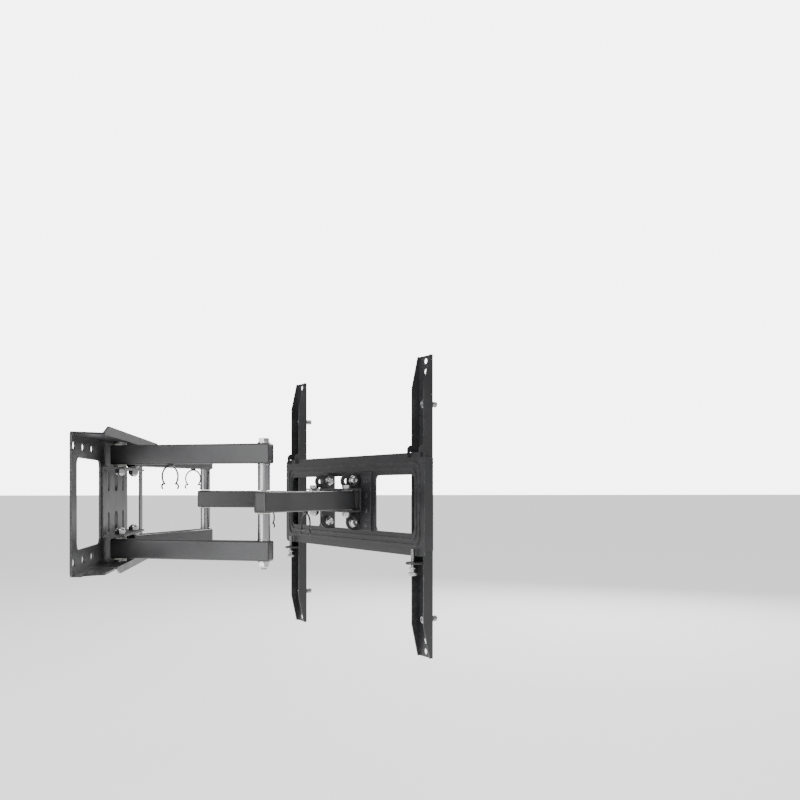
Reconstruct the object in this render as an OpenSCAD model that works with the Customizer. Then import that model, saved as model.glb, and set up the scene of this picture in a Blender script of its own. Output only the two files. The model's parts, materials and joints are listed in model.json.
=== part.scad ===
// Full motion wall mount for a flat screen.
// Two double-tube rear arms and two single-tube forearms join a slotted wall
// plate to a tilting head, whose plate carries two upright screen rails.
// The origin is the middle of the wall plate's back face. The wall is the
// plane y = 0, the room lies towards -Y, and +Z is up.

/* [Wall plate] */
// Width of the wall plate
plate_w = 528; // [510:2:660]
// Height of the wall plate
plate_h = 166; // [160:1:210]
// Sheet thickness of the wall plate
plate_t = 2.5; // [2:0.5:3.5]
// Depth of the top and bottom flanges from the wall
flange_d = 34; // [32:1:42]
// Height of the stiffening lip on each flange
lip_h = 9; // [5:1:14]
// Width of each cable window
window_w = 139; // [80:1:145]
// Height of each cable window
window_h = 108; // [60:1:112]
// Distance from the middle of the plate to each cable window
window_x = 99; // [92:1:110]
// Distances between the paired wall slots, across the plate
slot_pitches = [304.8, 406.4, 504];
// Distance between the upper and lower rows of wall slots
slot_rows = 134; // [126:1:140]
// Length of a wall slot
slot_l = 16; // [12:1:18]
// Width of a wall slot
slot_w = 9; // [7:0.5:11]

/* [Arms] */
// Distance between the two shoulder pivots on the wall plate
pivot_pitch = 110; // [100:1:130]
// Distance from the wall to the shoulder pivots
pivot_depth = 20; // [19:0.5:22]
// Pivot to pivot length of the rear arms
arm_l = 210; // [190:1:260]
// Pivot to pivot length of the forearms
forearm_l = 210; // [200:1:250]
// Width of the arm tubes
tube_w = 18; // [16:1:22]
// Height of the rear arm tubes
arm_h = 26; // [22:1:30]
// Height of the forearm tubes
forearm_h = 28; // [24:1:32]
// Wall thickness of the arm tubes
tube_t = 2; // [1.5:0.5:2.5]
// Outer diameter of the elbow spacer posts
post_d = 16; // [14:1:18]
// Angle of the near rear arm from straight out
near_arm_angle = -22; // [-34:1:0]
// Angle of the near forearm from straight out
near_forearm_angle = 55; // [45:1:65]
// Angle of the screen plate from parallel to the wall
screen_yaw = 24; // [10:1:35]

/* [Head] */
// Distance between the forearm pivots on the head
head_pitch = 110; // [104:1:130]
// Sheet thickness of the head parts
head_t = 2.5; // [2:0.5:3]
// Distance between the tilt pivots and the arc slot bolts
tilt_span = 64; // [60:1:74]
// Furthest forward tilt that the arc slots allow
tilt_forward = 10; // [6:1:12]
// Furthest backward tilt that the arc slots allow
tilt_back = 3; // [1:1:4]
// How far the screen side of the head sits below the arms
head_drop = 2; // [0:1:4]

/* [Screen plate] */
// Width of the screen plate
screen_plate_w = 452; // [440:2:520]
// Height of the screen plate
screen_plate_h = 144; // [132:1:176]
// Distance from the forearm pivots to the back of the screen plate
screen_plate_n = 28.5; // [28:0.5:34]
// Sheet thickness of the screen plate
screen_plate_t = 2.5; // [2:0.5:3]
// Depth of the folded ends of the screen plate
end_fold_d = 12; // [8:1:13]

/* [Rails] */
// Height of the screen rails
rail_l = 420; // [400:5:480]
// Width of the screen rails
rail_w = 32; // [28:1:36]
// Depth of the screen rails
rail_d = 15; // [12:1:18]
// Sheet thickness of the screen rails
rail_t = 2; // [1.5:0.5:2.5]
// Distance between the rails
rail_pitch = 400; // [300:10:402]
// Distance between the rail's holes
hole_pitch = 15; // [12.5:0.5:17]
// Diameter of the rail's holes
hole_d = 8.5; // [6.5:0.5:9]
// Height between the upper and lower screen screws, in hole steps
screw_steps = 20; // [16:1:24]

/* [Fasteners and fits] */
// Shaft diameter of the pivot bolts
bolt_d = 8; // [7:0.5:10]
// Width across the flats of the bolt heads and nuts
hex_af = 13; // [12:0.5:14]
// Height of the bolt heads
hex_h = 5.3; // [4:0.1:6.5]
// Height of the lock nuts
nut_h = 7.5; // [6:0.5:8]
// Thickness of the steel washers
washer_t = 1.6; // [1:0.1:2]
// Outer diameter of the steel washers
washer_d = 17; // [16:0.5:18]
// Thickness of a shoulder bush's flange
bush_flange_t = 2.1; // [1.5:0.1:2.5]
// Thickness of a forearm bush's flange
thin_flange_t = 1; // [0.8:0.1:1.5]
// Radial clearance of a bolt that turns in a bush
running = 0.05; // [0.02:0.01:0.09]
// Radial clearance of a bolt in a plain hole
hole_gap = 0.15; // [0.1:0.05:0.5]
// Clearance between faces that slide past each other
slide_gap = 0.3; // [0.2:0.05:0.4]

/* [Hidden] */
$fn = 64;
eps = 0.01;

// Heights, from the clevis gap down
plate_top = plate_h/2;
stack = bush_flange_t + slide_gap + washer_t;
arm_z = plate_top - plate_t - stack - arm_h/2;
arm_top = arm_z + arm_h/2;
arm_low = arm_z - arm_h/2;
tab_top = arm_low - stack;
fore_top = forearm_h/2;
fore_face = fore_top + thin_flange_t + slide_gap;

// Round sizes
bolt_r = bolt_d/2;
hole_r = bolt_r + hole_gap;
bush_r = bolt_r + running;
bush_wall = 2;
bush_out_r = bush_r + bush_wall;
bush_len = 9;
hex_r = hex_af/2/cos(30);

// Ends of the arm tubes
tube_over = bush_out_r + 1.95;
cap_t = 2;
tube_round = 2.5;

// Places of the pivots, in plan
function heading(a) = [sin(a), -cos(a)];
near_shoulder = [-pivot_pitch/2, -pivot_depth];
far_shoulder = [pivot_pitch/2, -pivot_depth];
near_elbow = near_shoulder + arm_l*heading(near_arm_angle);
near_head = near_elbow + forearm_l*heading(near_forearm_angle);
far_head = near_head + head_pitch*[cos(screen_yaw), sin(screen_yaw)];
head_mid = (near_head + far_head)/2;
// The far elbow is where the far rear arm and the far forearm meet
reach = far_head - far_shoulder;
reach_l = norm(reach);
reach_a = (arm_l*arm_l - forearm_l*forearm_l + reach_l*reach_l)/(2*reach_l);
reach_h = sqrt(arm_l*arm_l - reach_a*reach_a);
far_elbow = far_shoulder + reach*reach_a/reach_l + [-reach.y, reach.x]*reach_h/reach_l;
function heading_of(v) = atan2(v.x, -v.y);
far_arm_angle = heading_of(far_elbow - far_shoulder);
far_forearm_angle = heading_of(far_head - far_elbow);

// Wall plate details
slot_edge = (max(slot_pitches) + slot_l)/2;
flange_in = 25;
bottom_lip_x = 133;
ear_x = 165;
channel_w = 190;
channel_d = 31;
tab_hole_r = 4;

// Head details, with n measured from the forearm pivots towards the screen
head_plate_back = 14;
head_web_n = 15.5;
tilt_washer_r = bolt_d;
tilt_n = floor(10*(screen_plate_n - tilt_span*sin(tilt_back) - tilt_washer_r) - 5*slide_gap)/10;
upper_bolt_z = tilt_span/2 - head_drop;
lower_bolt_z = upper_bolt_z - tilt_span;
lug_out = head_pitch/2 - 13;
cheek_in = lug_out + slide_gap;
cheek_out = cheek_in + head_t;
ear_r = 12;
slot_ear_r = tilt_span*cos(tilt_forward + tilt_back) + lower_bolt_z
    - fore_face - head_t - slide_gap;
lug_r = 10;
cheek_strip_n = head_web_n + head_t + slide_gap
    + (fore_face + head_t - lower_bolt_z)*sin(tilt_back);
cheek_fold = 40;
rivet_r = 2.4;
rivet_x = cheek_in + 0.62*cheek_fold;
rivet_rows = [-32, -11, 11, 32];
screen_z = -2*head_drop;
screen_plate_top = screen_z + screen_plate_h/2;
screen_plate_low = screen_z - screen_plate_h/2;
screen_front_n = screen_plate_n + screen_plate_t;

// Rail details
rail_tip_n = screen_front_n + 0.4;
rail_web_n = rail_tip_n + rail_d;
rail_shift = -4;
rail_z = -7;
rail_taper = 45;
rail_holes = floor(rail_l/hole_pitch/2)*2;
lower_screw_z = rail_z - hole_pitch*(floor(screw_steps/2) + 0.5);
upper_screw_z = lower_screw_z + hole_pitch*screw_steps;
screen_screw_r = 4;
screw_out = 16;
screw_neck = 1.3;
lock_r = 3;
lock_n = screen_plate_n - lock_r - 1.8;
lock_leaf_z = screen_plate_low - 8;
lock_tip_z = screen_plate_low + 10;
lock_bore_gap = 0.05;

// Cable clips
clip_r = 14;
clip_wire = 2.4;
clip_open = 40;
clip_curl = 3.5;
clip_boss = 2.4;
clip_turn = -18;
fore_clip_turn = -31;
near_clip_x = 75;
far_clip_x = 170;
near_fore_clip_x = 98;
far_fore_clip_x = 127;

// ---------------------------------------------------------------- shapes

// A rectangle with round corners, centred
module round_rect(w, h, r) {
    square([w - 2*r, h], center = true);
    square([w, h - 2*r], center = true);
    for (x = [-1, 1], y = [-1, 1])
        translate([x*(w/2 - r), y*(h/2 - r)]) circle(r);
}

// A slot with round ends, along X, centred
module slot(l, w) {
    square([l - w, w], center = true);
    for (x = [-1, 1]) translate([x*(l - w)/2, 0]) circle(w/2);
}

// A flat ring about Z that stands on z
module ring(outer, inner, z, h) {
    translate([0, 0, z]) difference() {
        cylinder(r = outer, h = h);
        translate([0, 0, -1]) cylinder(r = inner, h = h + 2);
    }
}

// A hexagon bar about Z that stands on z
module hex_bar(z, h) {
    translate([0, 0, z]) cylinder(r = hex_r, h = h, $fn = 6);
}

// A hexagon nut about Z that stands on z, with a collar at its outer end
module lock_nut(z, h, up) {
    collar = 2;
    hex_z = up ? z : z + collar;
    collar_z = up ? z + h - collar : z;
    difference() {
        union() {
            hex_bar(hex_z, h - collar);
            translate([0, 0, collar_z]) cylinder(r = hex_af/2 - 0.8, h = collar);
        }
        translate([0, 0, z - 1]) cylinder(r = bolt_r, h = h + 2);
    }
}

// Extrudes a drawing of (x, z) through y, from y0 towards -Y
module upright(y0, t) {
    translate([0, y0, 0]) rotate([90, 0, 0]) linear_extrude(t) children();
}

// Extrudes a drawing of (n, z) through x, from x0 towards +X,
// where n runs towards -Y
module sideways(x0, t) {
    translate([x0, 0, 0]) rotate([90, 0, 90]) linear_extrude(t)
        mirror([1, 0]) children();
}

// ---------------------------------------------------------------- frames

// Local +X runs from a pivot along an arm at angle a
module along(p, a) {
    translate([p.x, p.y, 0]) rotate([0, 0, a - 90]) children();
}

// Local +X runs along the screen, and local -Y faces it
module on_head() {
    translate([head_mid.x, head_mid.y, 0]) rotate([0, 0, screen_yaw]) children();
}

module near_arm() { along(near_shoulder, near_arm_angle) children(); }
module far_arm() { along(far_shoulder, far_arm_angle) children(); }
module near_forearm() { along(near_elbow, near_forearm_angle) children(); }
module far_forearm() { along(far_elbow, far_forearm_angle) children(); }

// ---------------------------------------------------------------- wall side

module wall_slots() {
    for (p = slot_pitches, x = [-1, 1], z = [-1, 1])
        translate([x*p/2, z*slot_rows/2]) slot(slot_l, slot_w);
}

module wall_windows() {
    for (x = [-1, 1])
        translate([x*(window_x + window_w/2), 0]) round_rect(window_w, window_h, 10);
}

// The middle of the plate and of the channel: two upright ribs and a hub
module hub_cuts() {
    cut_h = tab_top - plate_t - 17;
    for (z = [-1, 1]) translate([0, z*(14 + cut_h/2)]) {
        round_rect(26, cut_h, 10);
        for (x = [-1, 1]) translate([x*56, 0]) round_rect(13, cut_h, 5);
    }
}

module wall_plate_back() {
    upright(0, plate_t) difference() {
        round_rect(plate_w, plate_h, 6);
        wall_slots();
        wall_windows();
        hub_cuts();
    }
}

module pivot_holes() {
    for (p = [near_shoulder, far_shoulder]) translate(p) circle(hole_r);
}

module top_flange() {
    flat = plate_w/2 - 6;
    translate([0, 0, plate_top - plate_t]) linear_extrude(plate_t) difference() {
        polygon([[-flat, 0], [flat, 0], [plate_w/2 - flange_in, -flange_d],
                 [-plate_w/2 + flange_in, -flange_d]]);
        pivot_holes();
    }
    lip_x = plate_w/2 - flange_in;
    upright(-flange_d + plate_t, plate_t)
        polygon([[-lip_x, plate_top - plate_t], [lip_x, plate_top - plate_t],
                 [lip_x, plate_top], [lip_x - 28, plate_top + lip_h],
                 [-lip_x + 28, plate_top + lip_h], [-lip_x, plate_top]]);
}

module bottom_flange() {
    flat = plate_w/2 - 6;
    ear_end = plate_w/2 - flange_in;
    ear_round = 9;
    translate([0, 0, -plate_top]) linear_extrude(plate_t) difference() {
        union() {
            translate([-flat, -12]) square([2*flat, 12]);
            translate([-ear_x + 5, -flange_d]) square([2*ear_x - 10, flange_d]);
            for (x = [-1, 1]) scale([x, 1]) {
                polygon([[ear_x + 1, 0], [flat, 0], [ear_end, -flange_d + ear_round],
                         [ear_end - ear_round, -flange_d], [ear_x + 1 + ear_round, -flange_d],
                         [ear_x + 1, -flange_d + ear_round]]);
                translate([ear_x + 1 + ear_round, -flange_d + ear_round]) circle(ear_round);
                translate([ear_end - ear_round, -flange_d + ear_round]) circle(ear_round);
            }
        }
        pivot_holes();
        for (x = [-1, 1]) {
            translate([x*(ear_x + 12), -pivot_depth + 4]) circle(tab_hole_r);
            translate([x*(ear_x - 2), -flange_d]) circle(6);
        }
    }
    lip_x = ear_x - 8;
    upright(-flange_d + plate_t, plate_t)
        polygon([[-lip_x, -plate_top + plate_t], [lip_x, -plate_top + plate_t],
                 [lip_x, -plate_top], [bottom_lip_x, -plate_top - lip_h + 1.5],
                 [-bottom_lip_x, -plate_top - lip_h + 1.5], [-lip_x, -plate_top]]);
}

module wall_plate() {
    color([0.05, 0.05, 0.055]) {
        wall_plate_back();
        top_flange();
        bottom_flange();
    }
}

// A folded channel behind the arms, whose two tabs hold the inner bolt ends
module pivot_channel() {
    color([0.06, 0.06, 0.065]) {
        upright(-plate_t, plate_t) difference() {
            square([channel_w, 2*tab_top], center = true);
            hub_cuts();
        }
        for (z = [tab_top - plate_t, -tab_top])
            translate([0, 0, z]) linear_extrude(plate_t) difference() {
                union() {
                    translate([-channel_w/2, -channel_d + 8])
                        square([channel_w, channel_d - 8 - plate_t]);
                    translate([-channel_w/2 + 8, -channel_d]) square([channel_w - 16, 10]);
                    for (x = [-1, 1])
                        translate([x*(channel_w/2 - 8), -channel_d + 8]) circle(8);
                }
                pivot_holes();
            }
    }
}

// ---------------------------------------------------------------- shoulder

shoulder_top = plate_top + washer_t;
shoulder_low = tab_top - plate_t;

// The upper bolt of a shoulder; the lower one is its mirror image
module shoulder_bolt() {
    hex_bar(shoulder_top, hex_h);
    translate([0, 0, shoulder_low - nut_h - 1])
        cylinder(r = bolt_r, h = shoulder_top - shoulder_low + nut_h + 1);
}

module shoulder_washers() {
    ring(washer_d/2, bolt_r, plate_top, washer_t);
    ring(washer_d/2, bolt_r, plate_top - plate_t - washer_t, washer_t);
    ring(washer_d/2, bolt_r, tab_top, washer_t);
}

// A piece and its mirror image below the middle of the arms
module both_levels() {
    children();
    mirror([0, 0, 1]) children();
}

module bolts_at(p) {
    color([0.5, 0.5, 0.52]) translate([p.x, p.y, 0]) both_levels() shoulder_bolt();
}

module nuts_at(p) {
    color([0.7, 0.7, 0.72]) translate([p.x, p.y, 0])
        both_levels() lock_nut(shoulder_low - nut_h, nut_h, false);
}

module washers_at(p) {
    color([0.75, 0.75, 0.77]) translate([p.x, p.y, 0]) both_levels() shoulder_washers();
}

module near_shoulder_bolts() { bolts_at(near_shoulder); }
module near_shoulder_nuts() { nuts_at(near_shoulder); }
module near_shoulder_washers() { washers_at(near_shoulder); }
module far_shoulder_bolts() { bolts_at(far_shoulder); }
module far_shoulder_nuts() { nuts_at(far_shoulder); }
module far_shoulder_washers() { washers_at(far_shoulder); }

// ---------------------------------------------------------------- arms

// A square-section tube along +X, with upright holes at its two pivots
module arm_tube(l, h, hole_a, hole_b) {
    difference() {
        translate([-tube_over, 0, 0]) rotate([90, 0, 90]) linear_extrude(l + 2*tube_over)
            difference() {
                round_rect(tube_w, h, tube_round);
                round_rect(tube_w - 2*tube_t, h - 2*tube_t, tube_round - 1);
            }
        translate([0, 0, -h]) cylinder(r = hole_a, h = 2*h);
        translate([l, 0, -h]) cylinder(r = hole_b, h = 2*h);
    }
}

// The two plastic caps that close a tube
module tube_caps(l, h) {
    plug = 1.5;
    for (x = [0, 1]) translate([x*l, 0, 0]) mirror([1 - x, 0, 0])
        translate([tube_over, 0, 0]) rotate([90, 0, 90]) {
            linear_extrude(cap_t) round_rect(tube_w, h, tube_round);
            translate([0, 0, -plug]) linear_extrude(plug + eps)
                round_rect(tube_w - 2*tube_t - 0.2, h - 2*tube_t - 0.2, tube_round - 1);
        }
}

// A flanged plastic bush in each wall of a tube of height h
module bush_pair(h, flange_t, flange_r) {
    both_levels() difference() {
        union() {
            translate([0, 0, h/2 - bush_len]) cylinder(r = bush_out_r, h = bush_len + eps);
            translate([0, 0, h/2]) cylinder(r = flange_r, h = flange_t);
        }
        translate([0, 0, h/2 - bush_len - 1]) cylinder(r = bush_r, h = bush_len + flange_t + 2);
    }
}

module rear_tube(z) {
    color([0.06, 0.06, 0.065]) translate([0, 0, z])
        arm_tube(arm_l, arm_h, bush_out_r, hole_r);
}

module rear_caps() {
    color([0.02, 0.02, 0.02]) for (z = [-arm_z, arm_z])
        translate([0, 0, z]) tube_caps(arm_l, arm_h);
}

module rear_bushes() {
    color([0.85, 0.85, 0.83]) for (z = [-arm_z, arm_z])
        translate([0, 0, z]) bush_pair(arm_h, bush_flange_t, tube_w/2 - 0.5);
}

// Steel spacers between the rear tubes and the forearm, with a collar
module elbow_posts() {
    collar_h = 2;
    color([0.35, 0.35, 0.36]) translate([arm_l, 0, 0]) both_levels() {
        ring(post_d/2, hole_r, fore_face, arm_low - fore_face);
        ring(post_d/2 + 0.6, post_d/2 - eps, arm_low - collar_h, collar_h);
    }
}

elbow_top = arm_top + washer_t;

module elbow_washers() {
    color([0.75, 0.75, 0.77]) translate([arm_l, 0, 0])
        both_levels() ring(washer_d/2, bolt_r, arm_top, washer_t);
}

module elbow_nut() {
    color([0.7, 0.7, 0.72]) translate([arm_l, 0, 0])
        lock_nut(-elbow_top - nut_h, nut_h, false);
}

module near_upper_tube() { near_arm() rear_tube(arm_z); }
module near_lower_tube() { near_arm() rear_tube(-arm_z); }
module near_arm_caps() { near_arm() rear_caps(); }
module near_arm_bushes() { near_arm() rear_bushes(); }
module near_elbow_posts() { near_arm() elbow_posts(); }
module near_elbow_nut() { near_arm() elbow_nut(); }
module near_elbow_washers() { near_arm() elbow_washers(); }
module far_upper_tube() { far_arm() rear_tube(arm_z); }
module far_lower_tube() { far_arm() rear_tube(-arm_z); }
module far_arm_caps() { far_arm() rear_caps(); }
module far_arm_bushes() { far_arm() rear_bushes(); }
module far_elbow_posts() { far_arm() elbow_posts(); }
module far_elbow_nut() { far_arm() elbow_nut(); }
module far_elbow_washers() { far_arm() elbow_washers(); }

// One long bolt runs through the whole near elbow
module near_elbow_bolt() {
    color([0.6, 0.6, 0.62]) near_arm() translate([arm_l, 0, 0]) {
        hex_bar(elbow_top, hex_h);
        translate([0, 0, -elbow_top - nut_h - 2])
            cylinder(r = bolt_r, h = 2*elbow_top + nut_h + 2);
    }
}

// The far elbow's bolt stops at the forearm's faces, which leaves it room
module far_elbow_bolts() {
    color([0.6, 0.6, 0.62]) far_arm() translate([arm_l, 0, 0]) {
        hex_bar(elbow_top, hex_h);
        translate([0, 0, fore_face]) cylinder(r = bolt_r, h = elbow_top - fore_face);
        translate([0, 0, -elbow_top - nut_h - 2])
            cylinder(r = bolt_r, h = elbow_top + nut_h + 2 - fore_face);
    }
}

module forearm_tube() {
    color([0.05, 0.05, 0.055]) arm_tube(forearm_l, forearm_h, bush_out_r, bush_out_r);
}

module forearm_caps() {
    color([0.02, 0.02, 0.02]) tube_caps(forearm_l, forearm_h);
}

module forearm_bushes() {
    color([0.85, 0.85, 0.83]) for (x = [0, forearm_l])
        translate([x, 0, 0]) bush_pair(forearm_h, thin_flange_t, tube_w/2 - 0.5);
}

module near_forearm_tube() { near_forearm() forearm_tube(); }
module near_forearm_caps() { near_forearm() forearm_caps(); }
module near_forearm_bushes() { near_forearm() forearm_bushes(); }
module far_forearm_tube() { far_forearm() forearm_tube(); }
module far_forearm_caps() { far_forearm() forearm_caps(); }
module far_forearm_bushes() { far_forearm() forearm_bushes(); }

// ---------------------------------------------------------------- head

// The outline of the upper and lower leaves of the head bracket
module head_leaf() {
    r = tube_w/2 + 4;
    difference() {
        union() {
            for (x = [-1, 1]) translate([x*head_pitch/2, 0]) circle(r);
            translate([-head_pitch/2 - r, -head_web_n - head_t])
                square([head_pitch + 2*r, head_web_n + head_t]);
            translate([-head_pitch/2, 0]) square([head_pitch, r]);
        }
        for (x = [-1, 1]) translate([x*head_pitch/2, 0]) circle(hole_r);
    }
}

// Upright lugs that hold the tilt bolts, as a drawing of (n, z)
module lug_profile(z) {
    low = min(abs(z), fore_face + head_t/2);
    difference() {
        union() {
            translate([tilt_n, abs(z)]) circle(lug_r);
            translate([tilt_n - lug_r, low]) square([2*lug_r, abs(z) - low]);
        }
        translate([tilt_n, abs(z)]) circle(hole_r);
    }
}

module head_bracket() {
    half = head_pitch/2 + tube_w/2 + 4;
    color([0.05, 0.05, 0.055]) on_head() {
        for (z = [fore_face, -fore_face - head_t])
            translate([0, 0, z]) linear_extrude(head_t) head_leaf();
        translate([-half, -head_web_n - head_t, -fore_face])
            cube([2*half, head_t, 2*fore_face]);
        for (x = [-lug_out, lug_out - head_t]) {
            sideways(x, head_t) lug_profile(upper_bolt_z);
            mirror([0, 0, 1]) sideways(x, head_t) lug_profile(lower_bolt_z);
        }
    }
}

head_top = fore_face + head_t;

module head_pivot_bolts() {
    color([0.6, 0.6, 0.62]) on_head() for (x = [-1, 1]) translate([x*head_pitch/2, 0, 0]) {
        hex_bar(head_top, hex_h);
        translate([0, 0, -head_top - nut_h - 1])
            cylinder(r = bolt_r, h = 2*head_top + nut_h + 1);
    }
}

module head_pivot_nuts() {
    color([0.7, 0.7, 0.72]) on_head() for (x = [-1, 1])
        translate([x*head_pitch/2, 0, 0]) lock_nut(-head_top - nut_h, nut_h, false);
}

// Places a piece at a tilt bolt: its local +Z points outwards from the head
module at_tilt_bolts() {
    for (side = [-1, 1], z = [upper_bolt_z, lower_bolt_z])
        translate([0, -tilt_n, z]) rotate([0, side*90, 0]) children();
}

module tilt_bolts() {
    head_h = 4.4;
    under = cheek_out + slide_gap + washer_t;
    color([0.6, 0.6, 0.62]) on_head() at_tilt_bolts() {
        translate([0, 0, under]) cylinder(r1 = 7, r2 = 5.5, h = head_h);
        translate([0, 0, lug_out - head_t - nut_h - 1])
            cylinder(r = bolt_r, h = under - lug_out + head_t + nut_h + 1);
    }
}

module tilt_nuts() {
    color([0.7, 0.7, 0.72]) on_head() at_tilt_bolts()
        lock_nut(lug_out - head_t - nut_h, nut_h, false);
}

module tilt_washers() {
    color([0.75, 0.75, 0.77]) on_head() at_tilt_bolts()
        ring(tilt_washer_r, bolt_r, cheek_out + slide_gap, washer_t);
}

// An arc of a round slot about the tilt pivot, as a drawing of (n, z).
// Angles run from the upright, positive towards the wall.
module tilt_arc(r, half_w, from_a, to_a) {
    function spoke(a, l) = [-l*sin(a), l*cos(a)];
    intersection() {
        difference() {
            circle(r + half_w);
            circle(r - half_w);
        }
        polygon([[0, 0], spoke(from_a, 2*r), spoke(to_a, 2*r)]);
    }
    for (a = [from_a, to_a]) translate(spoke(a, r)) circle(half_w);
}

// The side of the tilting bracket, as a drawing of (n, z)
module cheek_profile() {
    strip_top = upper_bolt_z + slot_ear_r + 2;
    strip_low = lower_bolt_z - ear_r;
    difference() {
        union() {
            translate([cheek_strip_n, strip_low])
                square([screen_plate_n - cheek_strip_n, strip_top - strip_low]);
            translate([tilt_n, lower_bolt_z]) {
                circle(ear_r);
                translate([0, -ear_r]) square([cheek_strip_n - tilt_n + 1, 2*ear_r]);
                tilt_arc(tilt_span, slot_ear_r, -tilt_back, tilt_forward);
            }
            translate([tilt_n, upper_bolt_z - slot_ear_r])
                square([cheek_strip_n - tilt_n + 1, 2*slot_ear_r + 2]);
        }
        translate([screen_plate_n, strip_low - 1]) square([tilt_span, strip_top - strip_low + 2]);
        translate([tilt_n, lower_bolt_z]) {
            circle(bush_r);
            tilt_arc(tilt_span, hole_r, -tilt_back, tilt_forward);
        }
    }
}

module cheek() {
    strip_top = upper_bolt_z + slot_ear_r + 2;
    strip_low = lower_bolt_z - ear_r;
    color([0.07, 0.07, 0.075]) {
        sideways(cheek_in, head_t) cheek_profile();
        // The fold, with a round relief that the upper bolt's washer tilts into
        upright(-screen_plate_n + head_t, head_t) difference() {
            translate([cheek_in, strip_low]) square([cheek_fold, strip_top - strip_low]);
            translate([cheek_out, upper_bolt_z]) circle(tilt_washer_r + 1.2);
            for (z = rivet_rows) translate([rivet_x, screen_z + z]) circle(rivet_r);
        }
    }
}

module near_cheek() { on_head() mirror([1, 0, 0]) cheek(); }
module far_cheek() { on_head() cheek(); }

// Four rivets hold each cheek's fold to the screen plate
module cheek_rivets() {
    rivet_head = 1.2;
    color([0.08, 0.08, 0.085]) on_head()
        for (x = [-1, 1], z = rivet_rows)
            translate([x*rivet_x, 0, screen_z + z]) rotate([90, 0, 0]) {
                translate([0, 0, screen_plate_n - head_t - rivet_head])
                    cylinder(r1 = rivet_r + 0.8, r2 = rivet_r + 2, h = rivet_head);
                translate([0, 0, screen_plate_n - head_t])
                    cylinder(r = rivet_r, h = head_t + screen_plate_t);
            }
}

// ---------------------------------------------------------------- screen side

side_window_in = 92;
side_window_out = 200;
side_window_h = 82;

// A raised bead that follows the edge of the screen plate
module bead(w, h, t) {
    difference() {
        round_rect(w, h, 14);
        round_rect(w - 2*t, h - 2*t, 14 - t);
    }
}

module screen_plate() {
    bead_t = 3;
    bead_h = 1.2;
    half = screen_plate_w/2;
    color([0.05, 0.05, 0.055]) on_head() translate([0, 0, screen_z]) {
        upright(-screen_plate_n, screen_plate_t) difference() {
            round_rect(screen_plate_w, screen_plate_h, 8);
            square([2*cheek_in, side_window_h], center = true);
            for (x = [-1, 1]) translate([x*(side_window_in + side_window_out)/2, 0])
                round_rect(side_window_out - side_window_in, side_window_h, 8);
            for (x = [-1, 1], z = rivet_rows) translate([x*rivet_x, z]) circle(rivet_r);
        }
        upright(-screen_plate_n + bead_h, bead_h) {
            bead(screen_plate_w - 24, screen_plate_h - 26, bead_t);
            bead(screen_plate_w - 40, screen_plate_h - 42, bead_t);
        }
        for (x = [-half, half - screen_plate_t])
            translate([x, -screen_front_n - end_fold_d, -screen_plate_h/2 + 8])
                cube([screen_plate_t, end_fold_d + 1, screen_plate_h - 16]);
    }
}

// The web of a rail, as a drawing of (x, z) about the rail's middle
module rail_web() {
    difference() {
        square([rail_w, rail_l], center = true);
        for (i = [-rail_holes/2 : rail_holes/2 - 1])
            translate([0, (i + 0.5)*hole_pitch]) circle(hole_d/2);
    }
}

// A flange of a rail, as a drawing of (n, z) about the rail's middle.
// Its hook drops behind the top edge of the screen plate.
module rail_flange() {
    half = rail_l/2;
    tip = rail_tip_n;
    root = rail_web_n;
    narrow = root - 5;
    edge = screen_plate_top - rail_z;
    hook_back = screen_plate_n - 4.4;
    hook_in = screen_plate_n - 0.5;
    polygon([[root, -half], [narrow, -half], [tip, -half + rail_taper],
             [tip, edge + 0.5], [hook_in, edge + 0.5], [hook_in, edge - 7],
             [hook_back, edge - 7], [hook_back, edge + 6], [hook_back + 4, edge + 10],
             [tip, edge + 10], [tip, half - rail_taper], [narrow, half], [root, half]]);
}

module rail(x) {
    color([0.06, 0.06, 0.065]) on_head() translate([x, 0, rail_z]) {
        upright(-rail_web_n + rail_t, rail_t) rail_web();
        for (s = [-rail_w/2, rail_w/2 - rail_t]) sideways(s, rail_t) rail_flange();
    }
}

// A folded leaf between the flanges that carries the lock screw
module lock_leaf(x) {
    inner = rail_w - 2*rail_t;
    leaf_t = 3;
    color([0.06, 0.06, 0.065]) on_head() translate([x, 0, 0]) {
        translate([0, 0, lock_leaf_z - leaf_t]) difference() {
            linear_extrude(leaf_t) difference() {
                union() {
                    translate([-inner/2, -rail_web_n + rail_t])
                        square([inner, rail_web_n - rail_t - lock_n]);
                    translate([0, -lock_n]) circle(inner/2 - 4);
                }
                translate([0, -lock_n]) circle(lock_r + lock_bore_gap);
            }
        }
        translate([-inner/2, -rail_web_n + rail_t, lock_leaf_z - leaf_t - 14])
            cube([inner, leaf_t, 14]);
    }
}

// A thumb screw whose tip stands behind the plate's bottom edge
module lock_screw(x) {
    color([0.45, 0.45, 0.47]) on_head() translate([x, -lock_n, 0]) {
        translate([0, 0, lock_leaf_z - 14]) cylinder(r = lock_r, h = lock_tip_z - lock_leaf_z + 14);
        translate([0, 0, lock_leaf_z - 9.5]) cylinder(r = 5, h = 2);
        translate([0, 0, lock_leaf_z - 19]) cylinder(r = 6, h = 5);
    }
}

near_rail_x = rail_shift - rail_pitch/2;
far_rail_x = rail_shift + rail_pitch/2;

module near_rail() { rail(near_rail_x); }
module far_rail() { rail(far_rail_x); }
module near_lock_leaf() { lock_leaf(near_rail_x); }
module far_lock_leaf() { lock_leaf(far_rail_x); }
module near_lock_screw() { lock_screw(near_rail_x); }
module far_lock_screw() { lock_screw(far_rail_x); }

// Local +Z points towards the screen, from the back of a rail's web
module at_screen_screws(x) {
    on_head() for (z = [lower_screw_z, upper_screw_z])
        translate([x, -rail_web_n + rail_t, z]) rotate([90, 0, 0]) children();
}

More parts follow.
